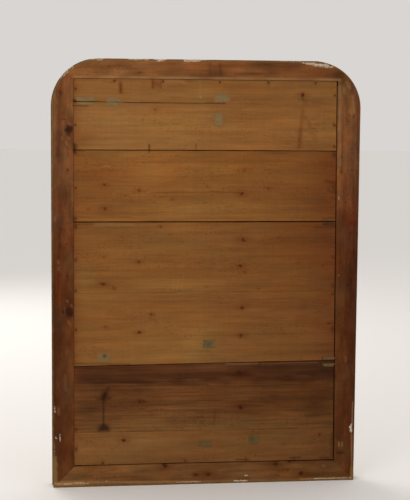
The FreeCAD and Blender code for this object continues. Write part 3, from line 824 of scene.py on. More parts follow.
# %% Build the skin of one board
row_step, station_step, front_row_step = 2 * MM, 3 * MM, 16 * MM
arris = 0.7 * MM
arris_turns = np.radians((30, 60, 90))
cup_depth, sawn_depth = 0.35 * MM, 0.10 * MM


def loft(x, y, z):
    """Closed sections, one to a row, joined into a closed skin with flat ends."""
    stations, around = x.shape
    points = np.stack([x.ravel(), y.ravel(), z.ravel()], 1)
    index = np.arange(stations * around).reshape(stations, around)
    after = np.roll(index, -1, 1)
    quads = np.stack([index[:-1], after[:-1], after[1:], index[1:]], 2).reshape(-1, 4).tolist()
    return points, quads + [index[0].tolist(), index[-1][::-1].tolist()]


def board_skin(number):
    """Points and faces of one board, with its split if it is the top one."""
    right, left = board_corners(f"back_board_{number}")
    width, height = left[0][0] - right[0][0], left[1][1] - left[0][1]
    share = np.linspace(0, 1, int(width / station_step) + 1)
    stations = right[0][0] + share * width
    low, high = ragged_edges(number, stations)
    row_share = np.linspace(0, 1, int(height / row_step) + 1)
    back_z = (low + arris)[:, None] + row_share[None] * (high - low - 2 * arris)[:, None]
    back_depth = board_back_y - cup_depth * ((2 * row_share - 1) ** 2)[None] + np.zeros_like(back_z)
    back_depth -= sawn_depth * (1 + wobble(stations[:, None] + 0 * back_z, back_z, 0.09, 60 + number))
    if number == top_board:
        cut_split(stations, back_z, back_depth)
    top_z = (high - arris)[:, None] + arris * np.sin(arris_turns)[None]
    low_z = (low + arris)[:, None] - arris * np.sin(arris_turns)[::-1][None]
    front_share = np.linspace(1, 0, int(height / front_row_step) + 2)
    front_z = low[:, None] + front_share[None] * (high - low)[:, None]
    section_z = np.concatenate([back_z, top_z, front_z, low_z], 1)
    round_y = board_back_y - cup_depth - arris + arris * np.cos(arris_turns)
    plain_y = np.concatenate([round_y, np.full(len(front_share), board_front_y), round_y[::-1]])
    section_y = np.concatenate([back_depth, np.tile(plain_y, (len(stations), 1))], 1)
    right_x, left_x = end_line(right, section_z), end_line(left, section_z)
    return loft(right_x + share[:, None] * (left_x - right_x), section_y, section_z)


print(f"sections every {station_step / MM:.0f} mm along a board, rows every {row_step / MM:.0f} mm up it")

# %% Tones of the boards
# The colour of the left and the right end of each board: its stain, with painted light that falls off from
# the left end to the right and towards the lower boards
board_tones_and_light = {
    1: (paint(140, 95, 50), paint(129, 85, 43)),
    2: (paint(130, 84, 40), paint(116, 72, 33)),
    3: (paint(126, 83, 41), paint(108, 67, 31)),
    4: (paint(127, 84, 42), paint(110, 70, 34)),
    5: (paint(100, 65, 34), paint(99, 62, 30)),
    6: (paint(119, 80, 43), paint(103, 66, 33)),
}


def blend(first, second, share):
    """From one colour to another by a share for each point."""
    share = np.clip(share, 0, 1)[:, None]
    return np.array(first[:3]) * (1 - share) + np.array(second[:3]) * share


def towards(colour, goal, share):
    """Colours drawn towards one goal by a share for each point."""
    return colour + (np.array(goal[:3]) - colour) * share[:, None]


print(len(board_tones_and_light), "boards, with a tone for each end")

# %% Stain each board
rubbed_red, soot_brown, lit_edge = paint(112, 58, 27), paint(68, 38, 18), paint(160, 105, 50)
# How far from an end the wood is darkened or reddened; at the right end the darkening is painted shade beside
# the right stile
right_shade_reach, left_dark, left_corner, left_rub, right_rub = (n * MM for n in (45, 35, 6, 14, 50))
# Boards that are dimmer at their right end, the one that took soot, and the one with a paler strip below
dim_boards, sooted_board, lit_board = (2, 3, 4), 5, 2
# How far the painted shadow of the top rail reaches down the top board
rail_shadow_reach = 9 * MM
strip_middle, strip_half = 4 * MM, 3.2 * MM


def board_tone(number):
    """A function that gives the broad colour of a board at each of its points, painted light and shade
    included.
    """
    right, left = board_corners(f"back_board_{number}")
    dim_end = number in dim_boards

    def tone(x, z):
        low, high = board_edges(number, x)
        from_left, from_right = end_line(left, z) - x, x - end_line(right, z)
        run = from_left / (from_left + from_right)
        up = (z - low) / (high - low)
        # From the tone of the left end to that of the right one: partly painted light falling off to the
        # right
        colour = blend(*board_tones_and_light[number], run + 0.05 * wobble(x, z, 0.35, 80 + number))
        streak = 0.035 * wobble(x * 0.03, z, 0.022, 130 + number)
        streak += 0.03 * wobble(x * 0.12, z, 0.05, 140 + number)
        # The top board is darker over its upper part, and painted shade lies along its top edge under the
        # rail
        if number == top_board:
            upper, edge = 0.5 * rise(up, 0.60, 0.72), np.exp((z - high) / rail_shadow_reach)
            colour = colour * ((1 - 0.16 * upper) * (1 - 0.16 * edge))[:, None]
        if number == sooted_board:
            ragged_up = up + 0.04 * wobble(x, z * 3, 0.1, 91)
            soot = 0.35 * rise(up, 0.25, 0.95) + 0.60 * rise(ragged_up, 0.66, 0.80)
            colour = towards(colour, soot_brown, soot)
            streak = (1 + 1.6 * rise(up, 0.2, 0.6)) * streak
        colour = colour * (1 + streak)[:, None] * stain_factor(number, x, z, board_back_y)
        # Darker towards the right end: painted shade beside the right stile, and on the dimmer boards more
        # darkening of the wood itself
        if number > top_board:
            colour = colour * (1 - (0.36 if dim_end else 0.20) * np.exp(-from_right / right_shade_reach))[:, None]
        if number < sooted_board:
            fade = 0.12 * np.exp(-from_left / left_dark) + 0.10 * np.exp(-from_left / left_corner)
            colour = colour * (1 - fade)[:, None]
        red_left = 0.45 * np.exp(-from_left / left_rub)
        red_right = 0.5 * dim_end * np.exp(-from_right / right_rub)
        colour = towards(colour, rubbed_red, np.maximum(red_left, red_right))
        if number == lit_board:
            strip = 0.30 * soft(z - low - strip_middle, strip_half) * (0.7 + 0.3 * wobble(x, z, 0.2, 95))
            colour = towards(colour, lit_edge, np.clip(strip, 0, 1))
        return colour

    return tone


print(f"the ends darken over {right_shade_reach / MM:.0f} mm at the right and {left_dark / MM:.0f} mm at the left")


# %% Read where the nails lie
def packed_shape(node):
    """The shape of a packed node, with its doubled points made one."""
    shape = bmesh.new()
    shape.from_mesh(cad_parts[node].data)
    bmesh.ops.remove_doubles(shape, verts=shape.verts[:], dist=1e-5)
    return shape


def islands(node):
    """The boxes of the loose solids in a packed node, from the bottom up."""
    shape = packed_shape(node)
    waiting, boxes = set(shape.verts), []
    while waiting:
        growing, found = [waiting.pop()], []
        while growing:
            vert = growing.pop()
            found.append(vert.co.copy())
            for edge in vert.link_edges:
                other = edge.other_vert(vert)
                if other in waiting:
                    waiting.remove(other)
                    growing.append(other)
        found = np.array(found)
        boxes.append((found.min(0), found.max(0)))
    shape.free()
    return sorted(boxes, key=lambda box: (round(box[0][2], 4), round(box[0][0], 4)))


nail_groups = ("left_end_nails", "right_end_nails", "top_edge_nails", "bottom_edge_nails")
nail_places = {group: [(low + high) / 2 for low, high in islands(group)] for group in nail_groups}
print({group: len(places) for group, places in nail_places.items()})

# %% Stain the wood round the nails
# Spread in mm, stretch and strength of a nail's stain; nails of the top edge stayed dry and left fainter ones
least_stain, most_stain = (4.0, 0.8, 0.35), (6.5, 1.7, 0.8)
dry_edge = 0.35


def nail_stain(x, z):
    """Iron and damp have darkened the wood round each nail."""
    cover = np.zeros_like(x)
    chance = np.random.default_rng(7)
    for group in nail_groups:
        for nail in nail_places[group]:
            spread, stretch, strength = chance.uniform(least_stain, most_stain)
            strength *= dry_edge if group == "top_edge_nails" else 1.0
            away = np.hypot(x - nail[0], (z - nail[2]) / stretch)
            cover = np.maximum(cover, strength * soft(away, spread * MM))
    return cover


print(f"stains of {least_stain[0]} to {most_stain[0]} mm round", sum(map(len, nail_places.values())), "nails")


# %% Make the boards
def shaded_piece(mesh, material, smooth_angle):
    """A mesh as an object of its name, with its finish and smooth shading up to an angle."""
    mesh.shade_smooth()
    mesh.set_sharp_from_angle(angle=math.radians(smooth_angle))
    mesh.materials.append(material)
    return placed(mesh.name, mesh)


def mesh_piece(name, points, faces, material, smooth_angle=40):
    """A mesh object at the origin, with its faces turned outward."""
    mesh = bpy.data.meshes.new(name)
    mesh.from_pydata(np.asarray(points).tolist(), [], faces)
    shape = bmesh.new()
    shape.from_mesh(mesh)
    bmesh.ops.recalc_face_normals(shape, faces=shape.faces[:])
    shape.to_mesh(mesh)
    shape.free()
    return shaded_piece(mesh, material, smooth_angle)


def settle(piece, slot, *nodes):
    """A finished piece rides on the mirror and stands for its CAD nodes. Its slot is not used."""
    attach(piece, "root")
    if nodes:
        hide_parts(*nodes)
    print(f"{piece.name}: {len(piece.data.polygons)} faces")


for number in board_tones_and_light:
    points, faces = board_skin(number)
    finish = sooted_pine if number == sooted_board else board_pine
    board = mesh_piece(f"pine_board_{number}", points, faces, finish)
    dress_pine(board.data, False, board_tone(number), board_knot_rows, board_back_y, number, nail_stain)
    settle(board, "back_boards", f"back_board_{number}")

# %% [markdown]
# ## Carcass
# The stiles and rails are pine too, stained nearly to mahogany, mitred behind and rubbed at the outer arris,
# where the ochre and gesso of the gilt edge show. They could be modelled anew, but their shape in the packed
# model is right. So each is a copy of its node, sliced by a grid of planes to give it points for the marks,
# with the arris then worn by about a millimetre at most.

# %% Slice a copy of a packed piece
slice_step = 3.0 * MM
flat_angle = math.radians(1)
carcass_smooth_angle = 30
rub_reach, rub_depth, dent_depth = 4 * MM, 1.1 * MM, 0.12 * MM
# How far below the back face rubbing ends and is full, and how far dents reach
rub_end, rub_full, dent_reach = 6 * MM, 1 * MM, 0.2 * MM


def edge_distance(x, z):
    """How far inside the carcass outline each point lies."""
    from_side, from_top = half_width - np.abs(x), carcass_top - z
    corner = (np.abs(x) > arc_centre.x) & (z > arc_centre.z)
    from_arc = carcass_radius - np.hypot(np.abs(x) - arc_centre.x, z - arc_centre.z)
    return np.where(corner, from_arc, np.minimum(np.minimum(from_side, from_top), z))


def worn(points):
    """Points near the back arris pulled in a little, unevenly, as knocks and rubbing leave it."""
    x, y, z = points.T
    near_edge = np.exp(-np.clip(edge_distance(x, z), 0, None) / rub_reach)
    near_back = rise(y, back_y - rub_end, back_y - rub_full)
    rub = near_edge * near_back * (0.5 + 0.5 * wobble(x, z, 0.07, 100)).clip(0, 1)
    dents = rise(y, back_y - dent_reach, back_y) * (1 + wobble(x, z, 0.05, 101)).clip(0, 2)
    moved = points.copy()
    moved[:, 1] -= rub_depth * rub + dent_depth * dents
    return moved


def sliced_copy(node, name, material):
    """A copy of a packed piece, cut along a grid so that it has points to carry marks."""
    shape = packed_shape(node)
    bmesh.ops.dissolve_limit(shape, angle_limit=flat_angle, verts=shape.verts[:], edges=shape.edges[:])
    low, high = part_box(node)
    for axis in (0, 2):
        normal = Vector((0, 0, 0))
        normal[axis] = 1
        for place in np.arange(low[axis] + slice_step / 2, high[axis], slice_step):
            whole = shape.verts[:] + shape.edges[:] + shape.faces[:]
            bmesh.ops.bisect_plane(shape, geom=whole, plane_co=normal * place, plane_no=normal, dist=1e-6)
    mesh = bpy.data.meshes.new(name)
    shape.to_mesh(mesh)
    shape.free()
    mesh.vertices.foreach_set("co", worn(points_of(mesh)).astype(np.float32).ravel())
    mesh.update()
    return shaded_piece(mesh, material, carcass_smooth_angle)


print(f"planes every {slice_step / MM:.0f} mm slice the carcass")

# %% Stain the carcass
outer_top, inner_top = paint(104, 61, 35), paint(113, 70, 38)
# How far from its outer side a stile begins to turn paler, and has turned
pale_from, pale_to = 14 * MM, 40 * MM
# For each stile the colours of its foot, outside and inside, the heights between which it darkens, and a seed
stile_looks = {
    "left_stile": (paint(75, 38, 15), paint(88, 47, 20), 1.08, 0.62, 110),
    "right_stile": (paint(71, 36, 14), paint(81, 44, 17), 1.02, 0.62, 115),
}
# For each rail the colours of its left and its right end, the right one darker partly by painted light that
# falls off from the left, and two seeds
rail_looks_and_light = {
    "top_rail": (paint(122, 77, 41), paint(104, 62, 31), 114, 154),
    "bottom_rail": (paint(112, 73, 38), paint(92, 56, 27), 115, 156),
}


def member_streaks(across, along, seed):
    """Streaks along a stile or a rail and mottles across it, as factors for its colour."""
    streaks = 0.05 * wobble(across, along * 0.05, 0.016, seed)
    return (1 + streaks + 0.09 * wobble(across, along * 0.4, 0.04, seed + 1))[:, None]


def stile_tone(x, z, outer_low, inner_low, dark_from, dark_to, seed):
    """A stile is darker at its outer side than towards the boards, and darker below than above."""
    ragged = 5 * MM * wobble(x, z, 0.05, seed) + 4 * MM * wobble(x, z * 0.3, 0.09, seed + 1)
    inward = rise(half_width - np.abs(x) + ragged, pale_from, pale_to)[:, None]
    share = rise(-z + 0.04 * wobble(x, z, 0.2, seed + 2), -dark_from, -dark_to)
    colour = blend(outer_top, outer_low, share) * (1 - inward) + blend(inner_top, inner_low, share) * inward
    return colour * member_streaks(x, z, seed + 3)


def rail_tone(x, z, left_end, right_end, seed, streak_seed):
    """A rail grows darker from its left end to its right one, partly by painted light that falls off to the
    right.
    """
    run = 0.5 - x / (2 * half_width) + 0.15 * wobble(x, z, 0.2, seed)
    return blend(left_end, right_end, run) * member_streaks(z, x, streak_seed)


def member_tone(node):
    """A function that gives the broad colour of a stile or a rail at each of its points."""
    def tone(x, z):
        standing = node in stile_looks
        colour = stile_tone(x, z, *stile_looks[node]) if standing else rail_tone(x, z, *rail_looks_and_light[node])
        return colour * stain_factor(node, x, z, back_y)

    return tone


print("tones for", *stile_looks, *rail_looks_and_light)

# %% Chip and wash the outer edges
# Chips that bare the gesso: pixels of their ends, half width in mm, strength
gesso_chips = [
    (97, 59.8, 102, 59.8, 2.4, .6), (134, 60, 137, 60, 2, .55), (144, 60, 147, 60, 2.2, .5),
    (157.5, 60.6, 163, 60.4, 4.2, .62), (184, 60.9, 200, 60.8, 2.8, .72), (63.5, 76, 68, 71, 2.2, .6),
    (72, 68.5, 74, 67, 1.8, .5), (54.7, 407, 55, 413, 2.6, .6), (55.6, 438, 56.6, 438, 3, .75),
    (60, 434.5, 60.2, 441, 2.4, .7), (350.4, 427, 351, 431, 5, .8), (351.4, 423.5, 351.2, 428, 3, .7),
    (350.2, 478, 351.4, 477.6, 2.6, .7), (54, 483.4, 60, 484.4, 2.6, .5), (64, 484, 71, 484, 2.6, .6),
    (75, 483, 88, 483.2, 2.6, .62), (106, 481, 108, 481, 2.2, .6), (176, 482, 200, 481.6, 2.4, .62),
    (234, 481, 247, 480.6, 2.4, .85), (314, 478.7, 347, 477.7, 2.2, .62),
    (245.2, 475.4, 247, 475.4, 3.2, .75), (338.8, 197, 338.8, 199.5, 2, .85), (339, 275, 339, 277, 2, .5),
    (282, 76, 282.4, 76.6, 2.2, .6), (54.4, 443, 54.7, 455, 1.4, .4),
]
# The wedge where the white ground of the top edge shows: pixels along its top, and its height in pixels
white_wedge = [
    (300, 62.2, .7), (306, 62.5, 2.2), (312, 62.8, 3.6),
    (320, 63.2, 4.8), (327, 64.2, 4.4), (333.5, 66.6, 1.8),
]
wedge_strength = 0.66
# Between which distances from the middle, and between which heights, the ochre of each low corner fades
left_wash_x, left_wash_z = (0.424, 0.434), (0.06, 0.12)
right_wash_x, right_wash_z = (0.426, 0.434), (0.03, 0.06)
# How far from the outline, and how far up, the ochre of the sides and of the foot fades
side_wash, foot_wash = (1.0 * MM, 6.5 * MM), (3 * MM, 8 * MM)


def wedge_cover(x, z):
    """How far each point lies in the white wedge of the top rail."""
    tops = np.array([(*on_back(px, py, back_y), tall * pixel_size) for px, py, tall in white_wedge])[::-1]
    below = np.interp(x, tops[:, 0], tops[:, 1]) + 0.8 * MM * wobble(x, z, 0.02, 125) - z
    tall = np.interp(x, tops[:, 0], tops[:, 2], left=0, right=0)
    inside = rise(below, -1.5 * MM, 0.5 * MM) * (1 - rise(below, tall * 0.5, tall * 1.2 + 1e-6))
    return wedge_strength * (tall > 0) * inside


def carcass_rim(x, y, z):
    """Ochre wash along the outer edges, gesso where chips bare it, and dust."""
    inside = edge_distance(x, z)
    sides = (1 - rise(inside, *side_wash)) * (0.75 + 0.60 * rise(z, 0.75, 0.95))
    low_left = rise(x + 3 * MM * wobble(x, z, 0.03, 126), *left_wash_x) * (1 - rise(z, *left_wash_z))
    low_right = rise(-x, *right_wash_x) * (1 - rise(z, *right_wash_z))
    outer_face = (y < (front_y + back_y) / 2) & (inside < 2 * MM)
    foot = 1 - rise(z + 1.5 * MM * wobble(x, z, 0.04, 127), *foot_wash)
    ochre = np.max([0.50 * sides, 0.85 * low_left, 0.85 * low_right, 0.6 * outer_face, 0.8 * foot], 0)
    gesso = np.maximum(stroke_cover(x, z, gesso_chips, back_y), wedge_cover(x, z)) * (y > front_y + 4 * MM)
    dust = np.clip(wobble(x, z, 0.12, 120), 0, 1) * 0.12
    return ochre, gesso, dust


print(len(gesso_chips), "chips and one white wedge")

# %% Bare the edges of the recess
recess_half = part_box("back_board_1")[1].x
recess_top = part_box("back_board_1")[1].z + 1.5 * MM
right_line = board_corners("back_board_6")[0][0], board_corners("back_board_1")[0][1]
strip_reach = 4 * MM
top_strip, right_strip = 3.5 * MM, 7 * MM


def bare_strips(x, z):
    """Pale, unstained strips along the recess: the top rail's lower edge and the right stile's inner edge."""
    along_top = soft(z - recess_top - top_strip, strip_reach) * (np.abs(x) < recess_half)
    beside = (z < recess_top) & (z > right_line[0][1])
    along_right = soft(end_line(right_line, z) - x - right_strip, strip_reach) * beside
    top_strength = 0.5 * (0.8 + 0.3 * wobble(x, z, 0.1, 121)).clip(0, 1)
    return np.maximum(top_strength * along_top, (0.03 + 0.12 * rise(z, 0.8, 0.98)) * along_right)


print(f"recess {2 * recess_half:.4f} m wide, up to {recess_top:.4f} m")

# %% Make the carcass
def carcass_dark(x, z):
    """Streaks and dirt of the carcass."""
    return stroke_cover(x, z, carcass_dirt, back_y)


for seed, node in enumerate((*stile_looks, *rail_looks_and_light), start=11):
    upright_grain = node in stile_looks
    member = sliced_copy(node, "stained_" + node, stile_pine if upright_grain else rail_pine)
    dress_pine(member.data, upright_grain, member_tone(node), carcass_knot_rows, back_y, seed, carcass_dark,
               pale=bare_strips, rim=carcass_rim)
    settle(member, "stained_carcass", node)

# %% [markdown]
# ## Nails
# Square cut nails hold every board at both ends, and more run along the top and the bottom edge of the back.
# Each could be modelled by hand, but they repeat, so Geometry Nodes set one small nail on a point for each
# packed nail, turned and sized a little by chance with a fixed seed. The result is turned into a plain mesh.

# %% Iron finish
def iron_finish():
    """Wrought iron with a brown bloom of rust."""
    iron = Finish("rusted_iron")
    bloom = iron.noise(iron.place(), scale=900, detail=4, roughness=0.65)
    colour = iron.mix(iron.span(bloom, 0.38, 0.62), paint(72, 36, 17), paint(100, 54, 26))
    roughness = iron.span(bloom, 0.3, 0.7, 0.75, 0.95)
    iron.give(Base_Color=colour, Roughness=roughness, Specular_IOR_Level=dull_gloss)
    iron.bump(bloom, 0.3 * MM, 0.8)
    return iron.material


rusted_iron = iron_finish()
print("finish:", rusted_iron.name)


# %% Geometry Nodes helper
class Recipe(NodeTree):
    """One Geometry Nodes tree with named inputs, and short calls to build it."""

    def __init__(self, name, **inputs):
        super().__init__(bpy.data.node_groups.new(name, "GeometryNodeTree"))
        self.tree.interface.new_socket("Geometry", in_out="INPUT", socket_type="NodeSocketGeometry")
        self.identifiers = {}
        for label, value in {**inputs, "Seed": 1, "Finish": None}.items():
            kind = {float: "NodeSocketFloat", int: "NodeSocketInt"}.get(type(value), "NodeSocketMaterial")
            socket = self.tree.interface.new_socket(label.replace("_", " "), in_out="INPUT", socket_type=kind)
            if value is not None:
                socket.default_value = value
            self.identifiers[label] = socket.identifier
        self.tree.interface.new_socket("Geometry", in_out="OUTPUT", socket_type="NodeSocketGeometry")
        self.given = self.tree.nodes.new("NodeGroupInput").outputs
        self.result = self.tree.nodes.new("NodeGroupOutput").inputs

    def moved(self, geometry, **sockets):
        return self.node("GeometryNodeTransform", {"Geometry": geometry, **sockets}).outputs[0]

    def set_out(self, points, copy, turn, sizes):
        """Ends a recipe: a copy on every point, turned and sized by chance, as one mesh with its finish."""
        seed = self.given["Seed"]
        turns = {"Min": [-t for t in turn], "Max": turn, "Seed": seed}
        turned = self.node("FunctionNodeRandomValue", turns, data_type="FLOAT_VECTOR").outputs[0]
        spread = {2: sizes[0], 3: sizes[1], "Seed": seed}
        sized = self.node("FunctionNodeRandomValue", spread, data_type="FLOAT").outputs[1]
        copies = {"Points": points, "Instance": copy, "Rotation": turned, "Scale": sized}
        placed = self.node("GeometryNodeInstanceOnPoints", copies).outputs[0]
        solid = self.node("GeometryNodeRealizeInstances", {"Geometry": placed}).outputs[0]
        finish = {"Geometry": solid, "Material": self.given["Finish"]}
        self.feed(self.result[0], self.node("GeometryNodeSetMaterial", finish).outputs[0])

    def grow(self, name, points, edges=(), **values):
        """Runs the recipe on points, or on points joined into a path, and returns a plain mesh object."""
        path = bpy.data.meshes.new(name + "_path")
        path.from_pydata([tuple(p) for p in points], list(edges), [])
        holder = placed(name + "_path", path)
        modifier = holder.modifiers.new(name, "NODES")
        modifier.node_group = self.tree
        for label, value in values.items():
            modifier[self.identifiers[label]] = value
        made = bpy.data.meshes.new_from_object(holder.evaluated_get(bpy.context.evaluated_depsgraph_get()))
        made.name = name
        holder.modifiers.remove(modifier)
        bpy.data.objects.remove(holder)
        return placed(name, made)


print("calls of a recipe:", *(call for call in vars(Recipe) if not call.startswith("_")))


# %% Nail recipe
def nail_recipe():
    """A square head with a hammered crown on a tapering shank, set on every point and looking along +Y."""
    recipe = Recipe("cut_nails", Head_size=5 * MM, Crown_size=2.2 * MM, Head_height=0.9 * MM,
                    Shank_size=2.4 * MM, Shank_length=20 * MM)
    given = recipe.given
    corner = 2 ** -0.5

    def square(top, bottom, depth, segments):
        sockets = {"Vertices": 4, "Side Segments": segments, "Radius Top": top, "Radius Bottom": bottom}
        return recipe.node("GeometryNodeMeshCone", {**sockets, "Depth": depth}).outputs["Mesh"]

    crown, rim, neck, tip = (recipe.times(given[label], share * corner) for label, share in (
        ("Crown size", 1), ("Head size", 1), ("Shank size", 1), ("Shank size", 0.4)))
    head = square(crown, rim, given["Head height"], 2)
    shank = square(neck, tip, given["Shank length"], 1)
    drop = recipe.node("ShaderNodeCombineXYZ", {2: recipe.times(given["Shank length"], -1)}).outputs[0]
    nail = recipe.node("GeometryNodeJoinGeometry")
    for part in (head, recipe.moved(shank, Translation=drop)):
        recipe.feed(nail.inputs[0], part)
    squared = recipe.moved(nail.outputs[0], Rotation=(0, 0, math.radians(45)))
    facing = recipe.moved(squared, Rotation=(math.radians(-90), 0, 0))
    recipe.set_out(given["Geometry"], facing, (0.06, 0.35, 0.06), (0.85, 1.1))
    return recipe


cut_nails = nail_recipe()
print("the nail recipe has the inputs", *cut_nails.identifiers)

# %% Drive the nails
nail_head, nail_head_height, nail_proud = 5 * MM, 0.7 * MM, 0.1 * MM
for seed, group in enumerate(nail_groups, start=1):
    heads = [(place[0], board_back_y + nail_proud, place[2]) for place in nail_places[group]]
    nails = cut_nails.grow("cut_" + group, heads, Head_size=nail_head, Head_height=nail_head_height,
                           Seed=seed, Finish=rusted_iron)
    settle(nails, "iron_nails", group)

# %% [markdown]
# ## Gummed tape
# Ten patches of gummed paper tape cover the split, joints and loose knots. Brown-green with age, crinkled
# and torn at their ends, they lie on the boards. They could be painted on, but paper lies on the wood, so
# each is a thin closed sheet on a fine grid, with a ragged edge and a face that lifts in wrinkles. Three
# patches have torn along the gap under them, and each of those is two sheets.

# %% Tape finish
def tape_finish():
    """Old gummed paper: grey-green, worn through to the wood where it is old."""
    tape = Finish("old_gummed_tape")
    cloud = tape.noise(tape.place(), scale=70, detail=4, roughness=0.6)
    streaks = tape.noise(tape.stretched(tape.place(), (30, 1, 300)), detail=3, roughness=0.6)
    fibre = tape.noise(tape.stretched(tape.place(), (300, 1, 1500)))
    level = tape.times(tape.span(cloud, 0.3, 0.7, 0.84, 1.14), tape.span(streaks, 0.3, 0.7, 0.84, 1.14))
    torn = tape.plus(tape.span(streaks, 0.2, 0.8, -0.4, 0.4), tape.span(cloud, 0.2, 0.8, -0.4, 0.4))
    frayed = tape.span(tape.plus(tape.attribute("age", "Fac"), torn), 0.30, 0.85)
    paper = tape.scaled(tape.attribute("base", "Color"), level)
    colour = tape.mix(frayed, paper, tape.attribute("wood", "Color"))
    roughness = tape.span(fibre, 0.3, 0.7, 0.7, 0.86)
    tape.give(Base_Color=colour, Roughness=roughness, Specular_IOR_Level=dull_gloss)
    tape.bump(tape.plus(fibre, cloud), 0.3 * MM, 0.6)
    return tape.material


gummed_tape = tape_finish()
print("finish:", gummed_tape.name)

# %% Measure the tape
upper_paper, dark_paper = paint(122, 98, 64), paint(94, 74, 47)
upper_wood, low_wood, dark_wood = paint(126, 84, 44), paint(104, 66, 34), paint(70, 44, 22)
# Pixels of a sheet's middle, its size in pixels, its paper, the wood under it, how far it has worn through,
# and how much its right end narrows
tape_sheets = [
    (85.4, 98.8, 20, 4.2, upper_paper, upper_wood, .05, 0),
    (86, 103.2, 19, 2.8, upper_paper, upper_wood, .15, 0),
    (114, 101.6, 16.5, 9.8, upper_paper, upper_wood, .10, .55),
    (222, 98, 17, 9, upper_paper, upper_wood, .14, .15),
    (218.5, 119.6, 10, 14.5, upper_paper, upper_wood, .18, 0),
    (209, 344, 14, 9.4, paint(99, 81, 51), upper_wood, .03, 0),
    (104, 357.6, 15, 9.2, paint(114, 94, 62), upper_wood, .25, 0),
    (205, 443.5, 14.5, 6.6, paint(92, 73, 45), low_wood, .08, 0),
    (253.7, 439.4, 12, 11, paint(93, 77, 44), low_wood, .24, 0),
    (328.4, 358, 13.4, 3.4, dark_paper, dark_wood, .10, 0),
    (328.6, 364.9, 13.4, 3.6, dark_paper, dark_wood, .12, 0),
    (328.6, 219.8, 13.4, 2.4, paint(96, 65, 38), paint(96, 58, 28), .2, 0),
    (328.6, 224, 13.4, 2.6, paint(66, 42, 22), paint(90, 54, 26), .2, 0),
]
# Pixels of dark spots that have come through the paper, their radius in mm and strength
tape_spots = [(104.4, 356.2, 5, .65), (252, 438.5, 9, .3), (209, 344.6, 8, .25)]
crease_half, crease_strength = 1.4 * MM, 0.45


def tape_dark(points):
    """How far spots, and the split under the paper, darken a sheet at each point."""
    x, z = points[:, 0], points[:, 2]
    on_split = np.interp(x, (split_tip[0], split_mouth[0]), (split_tip[1], split_mouth[1]))
    dark = crease_strength * soft(z - on_split, crease_half)
    for spot_x, spot_y, radius, strength in tape_spots:
        middle_x, middle_z = on_back(spot_x, spot_y)
        dark = np.maximum(dark, strength * soft(np.hypot(x - middle_x, z - middle_z), radius * MM))
    return dark[:, None]


print(len(tape_sheets), "sheets of tape")

# %% Lay the tape
sheet_steps = (28, 18)
tape_top, tape_rim, tape_under = 0.30 * MM, 0.15 * MM, 0.5 * MM
wrinkle_height = 0.06 * MM


def tape_sheet(middle, half_long, half_tall, taper, seed):
    """Points, faces and wear of one thin sheet with ragged ends, lying on the boards."""
    columns, rows = sheet_steps
    u, v = np.meshgrid(np.linspace(-1, 1, columns + 1), np.linspace(-1, 1, rows + 1), indexing="ij")
    end_tear = 0.05 * wobble(v * half_tall, u * 0, 0.014, seed)
    end_tear += 0.06 * wobble(v * half_tall, u * 0, 0.005, seed + 1)
    side_tear = 0.07 * wobble(u * half_long, v * 0, 0.012, seed + 2)
    x = middle[0] + u * half_long * (0.92 + end_tear * np.abs(u))
    z = middle[1] + v * half_tall * (0.94 + side_tear * np.abs(v) - taper * rise(-u, 0, 1))
    wrinkle = (wobble(x, z, 0.014, seed + 3) + wobble(x * 0.3, z, 0.006, seed + 4)).clip(-1.5, 1.5)
    outward = np.maximum(np.abs(u), np.abs(v))
    top = board_back_y + tape_top + np.where(outward > 0.999, -tape_rim, wrinkle_height * wrinkle)
    base = np.full_like(top, board_back_y - tape_under)
    points = np.concatenate([np.stack([x.ravel(), y.ravel(), z.ravel()], 1) for y in (top, base)])
    index = np.arange(u.size).reshape(u.shape)
    quads = np.stack([index[:-1, :-1], index[1:, :-1], index[1:, 1:], index[:-1, 1:]], 2).reshape(-1, 4)
    border = np.concatenate([index[:, 0], index[-1, 1:], index[-2::-1, -1], index[0, -2:0:-1]])
    after = np.roll(border, -1)
    walls = np.stack([border, after, after + u.size, border + u.size], 1)
    fray = np.tile(0.55 * outward.ravel() ** 4, 2)
    return points, np.concatenate([quads, quads[:, ::-1] + u.size, walls]), fray


laid = []
for number, (px, py, wide, tall, paper, wood, wear, taper) in enumerate(tape_sheets):
    half_long, half_tall = wide * pixel_size / 2, tall * pixel_size / 2
    points, faces, fray = tape_sheet(on_back(px, py), half_long, half_tall, taper, 200 + 10 * number)
    light = 1 - tape_dark(points)
    faces += number * len(points)
    laid.append((points, faces, np.array(paper) * light, np.array(wood) * light, wear + fray))
tape_points, tape_faces, tape_base, tape_wood, tape_age = (np.concatenate(column) for column in zip(*laid))
tape = mesh_piece("gummed_tape", tape_points, tape_faces.tolist(), gummed_tape)
for name, values in (("base", tape_base), ("wood", tape_wood), ("age", tape_age)):
    note(tape.data, name, values)
settle(tape, "paper_tape", "tape_patches")

# %% [markdown]
# ## Gilt moulding
# The front moulding is a carved pine section, coated with gesso, red bole and gold leaf, with an ochre wash
# on its outer edge. Its packed runs are faceted. Geometry Nodes could sweep one section along a path, but a
# sweep ends square, and the lengths that meet at the foot are mitred, so each length is a smooth loft
# between its own ends. Gold is rubbed through to bole on the high members, and dirt stays in the hollows.

# %% Gilt finish
gold_bright, gold_dull = paint(206, 166, 88), paint(178, 134, 62)
bole_red, bare_gesso, hollow_dirt = paint(122, 58, 34), paint(208, 196, 172), paint(66, 48, 26)
wash_light, wash_dark, chip_white = paint(128, 96, 42), paint(74, 58, 30), paint(214, 205, 188)


